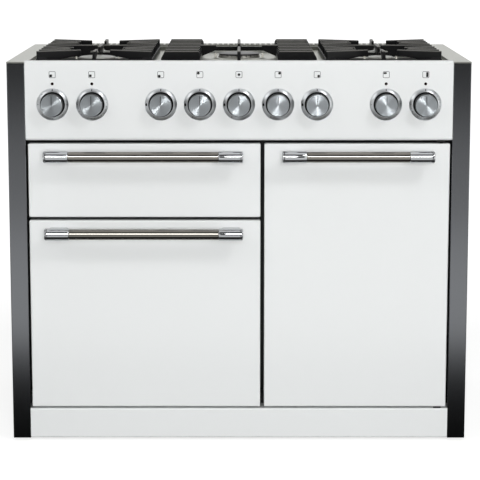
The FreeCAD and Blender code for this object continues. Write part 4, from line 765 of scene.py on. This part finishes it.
signStyle = {
    "z": 0.8785,
    "size": 15.5,
    "line": 1.1,
    "corner": 2.6,
    "spot": 3.2,      # radius of the black spot
    "shift": 3.4,     # spot's way from the middle of the square
    "proud": 0.06,
    "sunk": 0.1,
}
ovenPatches = {  # way across and up from the middle of the square, width, height and corner
    "left_oven_mode": (-3.2, -2.6, 6.0, 6.0, 1.4),
    "left_oven_heat": (-3.2, -2.6, 6.0, 6.0, 1.4),
    "grill_heat": (-2.6, 3.6, 7.4, 4.2, 0.8),
    "right_oven_heat": (3.4, 0, 5.0, 11.5, 0.8),
}


def makeSigns():
    bm = bmesh.new()
    back = faceY + signStyle["sunk"] * mm
    front = faceY - signStyle["proud"] * mm
    size = signStyle["size"] * mm

    def square(x):
        line, corner = signStyle["line"], signStyle["corner"]
        inside = size - 2 * line * mm
        outer = roundedOutline(x, signStyle["z"], size, size, corner * mm)
        inner = roundedOutline(x, signStyle["z"], inside, inside, (corner - line) * mm)
        loops = []
        for loop in (outer, inner):
            for y in (back, front):
                loops.append([bm.verts.new((px, y, pz)) for px, pz in loop])
        count = len(outer)
        for first, second in ((1, 3), (3, 2), (2, 0), (0, 1)):
            for n in range(count):
                after = (n + 1) % count
                bm.faces.new((loops[first][n], loops[first][after], loops[second][after], loops[second][n]))

    def spot(x, shiftX, shiftZ, width, height, corner):
        outline = roundedOutline(
            x + shiftX * mm, signStyle["z"] + shiftZ * mm, width * mm, height * mm, corner * mm)
        prism(bm, outline, back, front, slot=1)

    across = 2 * signStyle["spot"]
    shift = signStyle["shift"]
    places = {
        "front_left": (-shift, -shift), "rear_left": (-shift, shift), "centre": (0, 0),
        "rear_right": (shift, shift), "front_right": (shift, -shift),
    }
    for name, (shiftX, shiftZ) in places.items():
        square(gasKnobs[name])
        spot(gasKnobs[name], shiftX, shiftZ, across, across, signStyle["spot"] - 0.01)
    for x in ovenKnobs.values():
        square(x)
    for name, patch in ovenPatches.items():
        spot(ovenKnobs[name], *patch)
    signs = pieceFrom(bm, "fasciaSigns", [greyInk, darkInk])
    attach(signs, "cabinet")


makeSigns()
print("fascia signs printed")


# handles

handleStyle = {
    "barRadius": 12.6,
    "barEdge": 0.6,
    "sleeveRadius": 14.0,
    "sleeveLength": 57.0,
    "standoff": 48.0,     # from the fronts to the bar's axis
    "postWidth": 46.0,
    "postHeight": 18.0,
    "postCorner": 5.0,
    "postReach": 30.0,    # nearer to the fronts than this there is only the post
    "grooveAt": 4.2,      # dark ring near each sleeve's outer end
    "grooveWidth": 1.7,
}
handles = {
    "grill": ("grill_drawer", "grill_handle_bar", "grill_handle_brackets"),
    "leftDoor": ("left_door", "left_door_handle_bar", "left_door_handle_brackets"),
    "rightDoor": ("right_door", "right_door_handle_bar", "right_door_handle_brackets"),
}


def makeHandle(name, body, barNode, bracketNode):
    style = handleStyle
    barLow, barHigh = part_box(barNode)
    endLow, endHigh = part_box(bracketNode)
    z = (barLow.z + barHigh.z) / 2
    y = faceY - style["standoff"] * mm
    radius, edge = style["barRadius"], style["barEdge"]
    length = (barHigh.x - barLow.x) / mm
    bm = bmesh.new()
    profile = [
        (0, 0), (radius - edge, 0), (radius, edge), (radius, length - edge), (radius - edge, length),
        (0, length),
    ]
    lathe(bm, profile, Vector((barLow.x, y, z)), (1, 0, 0), segments=64)
    bar = pieceFrom(bm, f"{name}Bar", [nickel])
    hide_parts(barNode)
    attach(bar, body)

    outer, total = style["sleeveRadius"], style["sleeveLength"]
    groove, grooveEnd = style["grooveAt"], style["grooveAt"] + style["grooveWidth"]
    bm = bmesh.new()
    for start, along in ((endLow.x, 1), (endHigh.x, -1)):
        sleeve = [
            (0, 0), (outer - 2.2, 0), (outer - 1.6, 0.25), (outer - 0.3, 1.7), (outer, 2.3),
            (outer, groove), (outer - 0.9, groove + 0.2), (outer - 0.9, groove + 1.5), (outer, grooveEnd),
            (outer, total - 1.4), (outer - 0.4, total - 0.5), (outer - 1.2, total), (radius - 0.2, total),
            (radius - 0.2, total - 3), (0, total - 3),
        ]
        lathe(bm, sleeve, Vector((start, y, z)), (along, 0, 0), segments=64)
        middle = start + along * (total / 2) * mm
        post = roundedOutline(
            middle, z, style["postWidth"] * mm, style["postHeight"] * mm, style["postCorner"] * mm, steps=8)
        prism(bm, post, faceY, y)
    for face in bm.faces:
        spot = face.calc_center_median()
        inward = min(spot.x - endLow.x, endHigh.x - spot.x) / mm
        if groove < inward < grooveEnd and spot.y < faceY - style["postReach"] * mm:
            face.material_index = 1
    ends = pieceFrom(bm, f"{name}Brackets", [chrome, darkInk], sharpDegrees=30)
    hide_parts(bracketNode)
    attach(ends, body)
    return [bar, ends]


handlePieces = []
for handleName, parts in handles.items():
    handlePieces += makeHandle(handleName, *parts)
print("handles fitted")


# burner caps

capStyle = {"height": 5.0, "shoulder": 9.0, "skirt": 1.8}
burners = {  # x and y in metres, radius of the cap in mm, 1 for the dark cap
    "front_left": (-0.340, -0.119, 43.0, 0),
    "rear_left": (-0.340, 0.097, 37.5, 0),
    "centre": (0.0, -0.011, 50.0, 1),
    "rear_right": (0.340, 0.097, 50.0, 0),
    "front_right": (0.340, -0.119, 30.0, 0),
}


def makeCaps():
    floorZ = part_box("burner_caps")[0].z
    height, shoulder, skirt = capStyle["height"], capStyle["shoulder"], capStyle["skirt"]
    bm = bmesh.new()
    for x, y, radius, slot in burners.values():
        profile = [
            (0, 0), (radius - 1.2, 0), (radius - 0.2, 0.5), (radius, 1.1), (radius, skirt + 0.6),
            (radius - 0.5, skirt + 1.2), (radius - 2, skirt + 1.7), (radius - shoulder * 0.6, height - 0.9),
            (radius - shoulder, height - 0.45), (radius * 0.5, height - 0.1), (radius * 0.25, height),
            (0, height),
        ]
        lathe(bm, profile, Vector((x, y, floorZ)), (0, 0, 1), segments=96, slot=slot)
    caps = pieceFrom(bm, "burnerCaps", [paleCap, darkCap])
    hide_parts("burner_caps")
    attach(caps, "cabinet")


makeCaps()
print("burner caps turned")


# cast pan supports

castStyle = {"voxel": 1.5, "relax": 0.5, "smoothing": 3, "keep": 0.25}


def castCopy(nodeName):
    # the sharp solid remeshed and relaxed, which rounds its edges as a sand mould does
    copy = nodes[nodeName].data.copy()
    bm = bmesh.new()
    bm.from_mesh(copy)
    bmesh.ops.remove_doubles(bm, verts=bm.verts, dist=1e-6)
    bm.to_mesh(copy)
    bm.free()
    rough = placeObject(nodeName + "_rough", copy)
    remesh = rough.modifiers.new("remesh", "REMESH")
    remesh.mode = "VOXEL"
    remesh.voxel_size = castStyle["voxel"] * mm
    relax = rough.modifiers.new("relax", "SMOOTH")
    relax.factor = castStyle["relax"]
    relax.iterations = castStyle["smoothing"]
    thin = rough.modifiers.new("thin", "DECIMATE")
    thin.ratio = castStyle["keep"]
    made = meshOf(rough)
    bpy.data.objects.remove(rough)
    support = linkPiece(made, "cast_" + nodeName, [iron], sharpDegrees=60)
    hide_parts(nodeName)
    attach(support, nodeName)


for supportName in ("pan_support_left", "pan_support_centre", "pan_support_right"):
    castCopy(supportName)
print("pan supports cast")


# screws

screwStyle = {"radius": 4.0, "height": 2.2, "sunk": 0.3, "socket": 1.7, "socketDepth": 1.3}
doorScrewInset = 0.018
rearColumns = {"x": 0.485, "foot": 0.075, "step": 0.16, "count": 6}   # up both edges of the rear panel
rearRows = {"x": -0.36, "step": 0.18, "count": 5, "heights": (0.060, 0.890)}   # along its foot and its top


def makeScrews(name, points, body):
    # button heads that look along +Y
    radius, height, sunk = screwStyle["radius"], screwStyle["height"], screwStyle["sunk"]
    socket, socketFloor = screwStyle["socket"], height - screwStyle["socketDepth"]
    profile = [
        (0, -sunk), (radius, -sunk), (radius, height * 0.25), (radius * 0.9, height * 0.6),
        (radius * 0.7, height * 0.88), (socket + 0.4, height), (socket, height - 0.1), (socket, socketFloor),
        (0, socketFloor),
    ]
    bm = bmesh.new()
    lathe(bm, profile, Vector(), (0, 1, 0), segments=24)
    screws = onPoints(name, bm, points, zinc)
    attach(screws, body)


def doorScrews(nodeName):
    low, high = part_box(nodeName)
    inset = doorScrewInset
    return [
        (x, high.y, z)
        for x in (low.x + inset, high.x - inset)
        for z in (low.z + inset, (low.z + high.z) / 2, high.z - inset)
    ]


def rearScrews():
    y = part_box("rear_panel")[1].y
    points = []
    for side in (-1, 1):
        for n in range(rearColumns["count"]):
            points.append((side * rearColumns["x"], y, rearColumns["foot"] + rearColumns["step"] * n))
    for n in range(rearRows["count"]):
        for z in rearRows["heights"]:
            points.append((rearRows["x"] + rearRows["step"] * n, y, z))
    return points


makeScrews("rearScrews", rearScrews(), "cabinet")
makeScrews("leftDoorScrews", doorScrews("left_door_inner"), "left_door")
makeScrews("rightDoorScrews", doorScrews("right_door_inner"), "right_door")
print("screws driven")


# studio

studio = {
    "worldFill": 0.36,
    "floorGlow": 0.74,      # near the cooker, where its shadow lies
    "floorFade": (1.1, 3.0),  # metres from the middle over which the floor turns to plain white
    "floorColour": "#B9BAB9",
    "floorReach": 45.0,
    "keyLamp": ((1.9, -2.7, 3.2), 0.6, 0.6, 28.0),   # place, width, height and watts
    "fillLamp": ((-2.7, -2.3, 2.9), 1.6, 1.6, 16.0),
    "sideLamp": ((3.4, -2.2, 1.1), 0.8, 1.2, 6.0),
    "frontLamp": ((0.2, -5.4, 1.35), 1.2, 1.2, 140.0),   # flat fill, seen in no metal
    "stripLamp": ((0.0, -3.3, 1.72), 2.0, 0.85, 50.0),   # seen in the handles alone
    "spotLamp": ((0.28, -3.3, 1.12), 0.3, 0.3, 13.0),   # seen in the knobs alone
    "aim": (0.0, -0.25, 0.55),
    # frontFloor and roundFloor glow least at the cooker's foot: a painted shadow of the cooker on the floor,
    # as the metal mirrors it
    "frontFloor": ((0.0, 0.02), (0.25, 0.04), (0.5, 0.1), (0.75, 0.34), (1.1, 1.0), (1.8, 1.0), (3.0, 0.9)),
    "roundFloor": ((0.0, 0.1), (0.5, 0.22), (1.4, 0.45), (3.0, 0.5)),
    "farFloor": ((3.0, 0.62), (6.0, 0.56), (7.5, 0.25), (9.0, 0.06), (12.0, 0.03)),
    "ceiling": ((0.0, 0.9), (1.0, 0.9), (1.8, 0.2), (3.1, 0.1), (7.0, 0.08)),
    "cameraPlace": (0.0024, -4.469, 1.238),
    "cameraPitch": 9.06,
    "cameraShift": -0.07,
    "sensorWidth": 36.0,
    "lens": 135.6,
}
plainWhite = (1.0, 1.0, 1.0, 1.0)


def seenRays(tree):
    # 1 for what the camera, metal and glass look at
    path = addNode(tree, "ShaderNodeLightPath")
    shiny = addNode(
        tree, "ShaderNodeMath", {0: path.outputs["Is Camera Ray"], 1: path.outputs["Is Glossy Ray"]},
        operation="MAXIMUM")
    return addNode(
        tree, "ShaderNodeMath", {0: shiny.outputs[0], 1: path.outputs["Is Transmission Ray"]},
        operation="MAXIMUM").outputs[0]


def makeWorld():
    world = bpy.data.worlds.new("studioWorld")
    bpy.context.scene.world = world
    tree = emptyTree(world)
    strength = addNode(tree, "ShaderNodeMapRange", {
        "Value": seenRays(tree), "To Min": studio["worldFill"], "To Max": 1.0})
    back = addNode(tree, "ShaderNodeBackground", {"Color": plainWhite, "Strength": strength.outputs[0]})
    addNode(tree, "ShaderNodeOutputWorld", {"Surface": back.outputs[0]})


def flatCard(left, right, front, back, z):
    return [(left, front, z), (right, front, z), (right, back, z), (left, back, z)]


def uprightCard(first, second, top):
    return [(*first, 0.0), (*second, 0.0), (*second, top), (*first, top)]


def evenly(glow):
    return ((0.0, glow), (9.0, glow))


def makeStage(name, corners, material):
    # one face with its material, kept out of the part
    mesh = bpy.data.meshes.new(name)
    mesh.from_pydata(corners, [], [(0, 1, 2, 3)])
    mesh.materials.append(material)
    face = placeObject(name, mesh)
    return face


def makeFloor():
    # plain paint that also glows for the camera, so that it ends in white and keeps the shadow
    material = bpy.data.materials.new("studioFloorPaint")
    tree = emptyTree(material)
    paint = addNode(tree, "ShaderNodeBsdfDiffuse", {"Color": linear(studio["floorColour"])})
    place = addNode(tree, "ShaderNodeTexCoord").outputs["Object"]
    away = addNode(tree, "ShaderNodeVectorMath", {0: place}, operation="LENGTH")
    fadeStart, fadeEnd = studio["floorFade"]
    fade = addNode(tree, "ShaderNodeMapRange", {
        "Value": away.outputs["Value"], "From Min": fadeStart, "From Max": fadeEnd,
        "To Min": studio["floorGlow"]})
    glow = addNode(tree, "ShaderNodeMapRange", {
        "Value": seenRays(tree), "To Min": 0.0, "To Max": fade.outputs[0]})
    shine = addNode(tree, "ShaderNodeEmission", {"Color": plainWhite, "Strength": glow.outputs[0]})
    both = addNode(tree, "ShaderNodeAddShader", {0: paint.outputs[0], 1: shine.outputs[0]})
    addNode(tree, "ShaderNodeOutputMaterial", {"Surface": both.outputs[0]})
    reach = studio["floorReach"]
    makeStage("studioFloor", flatCard(-reach, reach, -reach, reach, 0), material)


# what polished metal sees round the cooker: corners and glow
cards = {
    "frontFloorCard": (flatCard(-1.3, 1.3, -3.3, -0.27, 0.005), studio["frontFloor"]),
    "roundFloorCard": (flatCard(-3.5, 3.5, -3.3, 3.3, 0.003), studio["roundFloor"]),
    "farFloorCard": (flatCard(-2.4, 2.4, -13.0, -3.3, 0.004), studio["farFloor"]),
    "ceilingCard": (flatCard(-5.0, 5.0, -7.0, 3.0, 3.6), studio["ceiling"]),
    "wallCard": (uprightCard((-4.0, -9.0), (4.0, -9.0), 4.0), evenly(0.05)),
    "backCard": (uprightCard((-6.0, 5.0), (6.0, 5.0), 3.0), evenly(0.78)),
    "leftCard": (uprightCard((-6.0, -6.0), (-6.0, 5.0), 3.5), evenly(0.4)),
    "rightCard": (uprightCard((6.0, -6.0), (6.0, 5.0), 3.5), evenly(0.4)),
}


def makeCard(name, corners, strengths):
    # a glowing card that only mirrors see; strengths run out from the cooker's foot, (metres, glow)
    material = bpy.data.materials.new(name)
    tree = emptyTree(material)
    place = addNode(tree, "ShaderNodeTexCoord").outputs["Object"]
    parts = addNode(tree, "ShaderNodeSeparateXYZ", {0: place}).outputs
    ways = []
    for axis, half in ((parts[0], cadHigh.x), (parts[1], cadHigh.y)):
        size = addNode(tree, "ShaderNodeMath", {0: axis}, operation="ABSOLUTE")
        way = addNode(tree, "ShaderNodeMath", {0: size.outputs[0], 1: half}, operation="SUBTRACT")
        ways.append(way.outputs[0])
    away = addNode(tree, "ShaderNodeMath", {0: ways[0], 1: ways[1]}, operation="MAXIMUM")
    reach = strengths[-1][0]
    share = addNode(tree, "ShaderNodeMath", {0: away.outputs[0], 1: reach}, operation="DIVIDE")
    ramp = addNode(tree, "ShaderNodeValToRGB", {0: share.outputs[0]})
    stops = ramp.color_ramp.elements
    while len(stops) < len(strengths):
        stops.new(0.5)
    for stop, (distance, glow) in zip(stops, strengths):
        stop.position = distance / reach
        stop.color = (glow, glow, glow, 1.0)
    shine = addNode(tree, "ShaderNodeEmission", {"Color": ramp.outputs[0]})
    addNode(tree, "ShaderNodeOutputMaterial", {"Surface": shine.outputs[0]})
    card = makeStage(name, corners, material)
    for sight in ("camera", "diffuse", "transmission", "shadow", "volume_scatter"):
        setattr(card, f"visible_{sight}", False)


def makeLamp(name, pieces=None):
    # an area lamp; with pieces given, only their shine shows it
    place, width, height, watts = studio[name]
    lamp = bpy.data.lights.new(name, "AREA")
    lamp.shape = "RECTANGLE"
    lamp.size = width
    lamp.size_y = height
    lamp.energy = watts
    holder = placeObject(name, lamp)
    holder.location = place
    holder.rotation_euler = (Vector(studio["aim"]) - Vector(place)).to_track_quat("-Z", "Y").to_euler()
    holder.visible_camera = False
    if pieces:
        lit = bpy.data.collections.new(name + "Pieces")
        for piece in pieces:
            lit.objects.link(piece)
        holder.light_linking.receiver_collection = lit
        holder.visible_diffuse = False
    return holder


def makeCamera():
    camera = bpy.data.cameras.new("photoCamera")
    camera.sensor_width = studio["sensorWidth"]
    camera.lens = studio["lens"]
    camera.shift_y = studio["cameraShift"]
    holder = placeObject("photoCamera", camera)
    holder.location = studio["cameraPlace"]
    holder.rotation_euler = (math.radians(90 - studio["cameraPitch"]), 0, 0)
    bpy.context.scene.camera = holder


makeWorld()
makeFloor()
for cardName, (corners, strengths) in cards.items():
    makeCard(cardName, corners, strengths)
for lampName in ("keyLamp", "fillLamp", "sideLamp"):
    makeLamp(lampName)
makeLamp("frontLamp").visible_glossy = False
makeLamp("stripLamp", handlePieces)
makeLamp("spotLamp", knobPieces)
makeCamera()
bpy.context.scene.view_settings.view_transform = "Standard"
print("studio set")
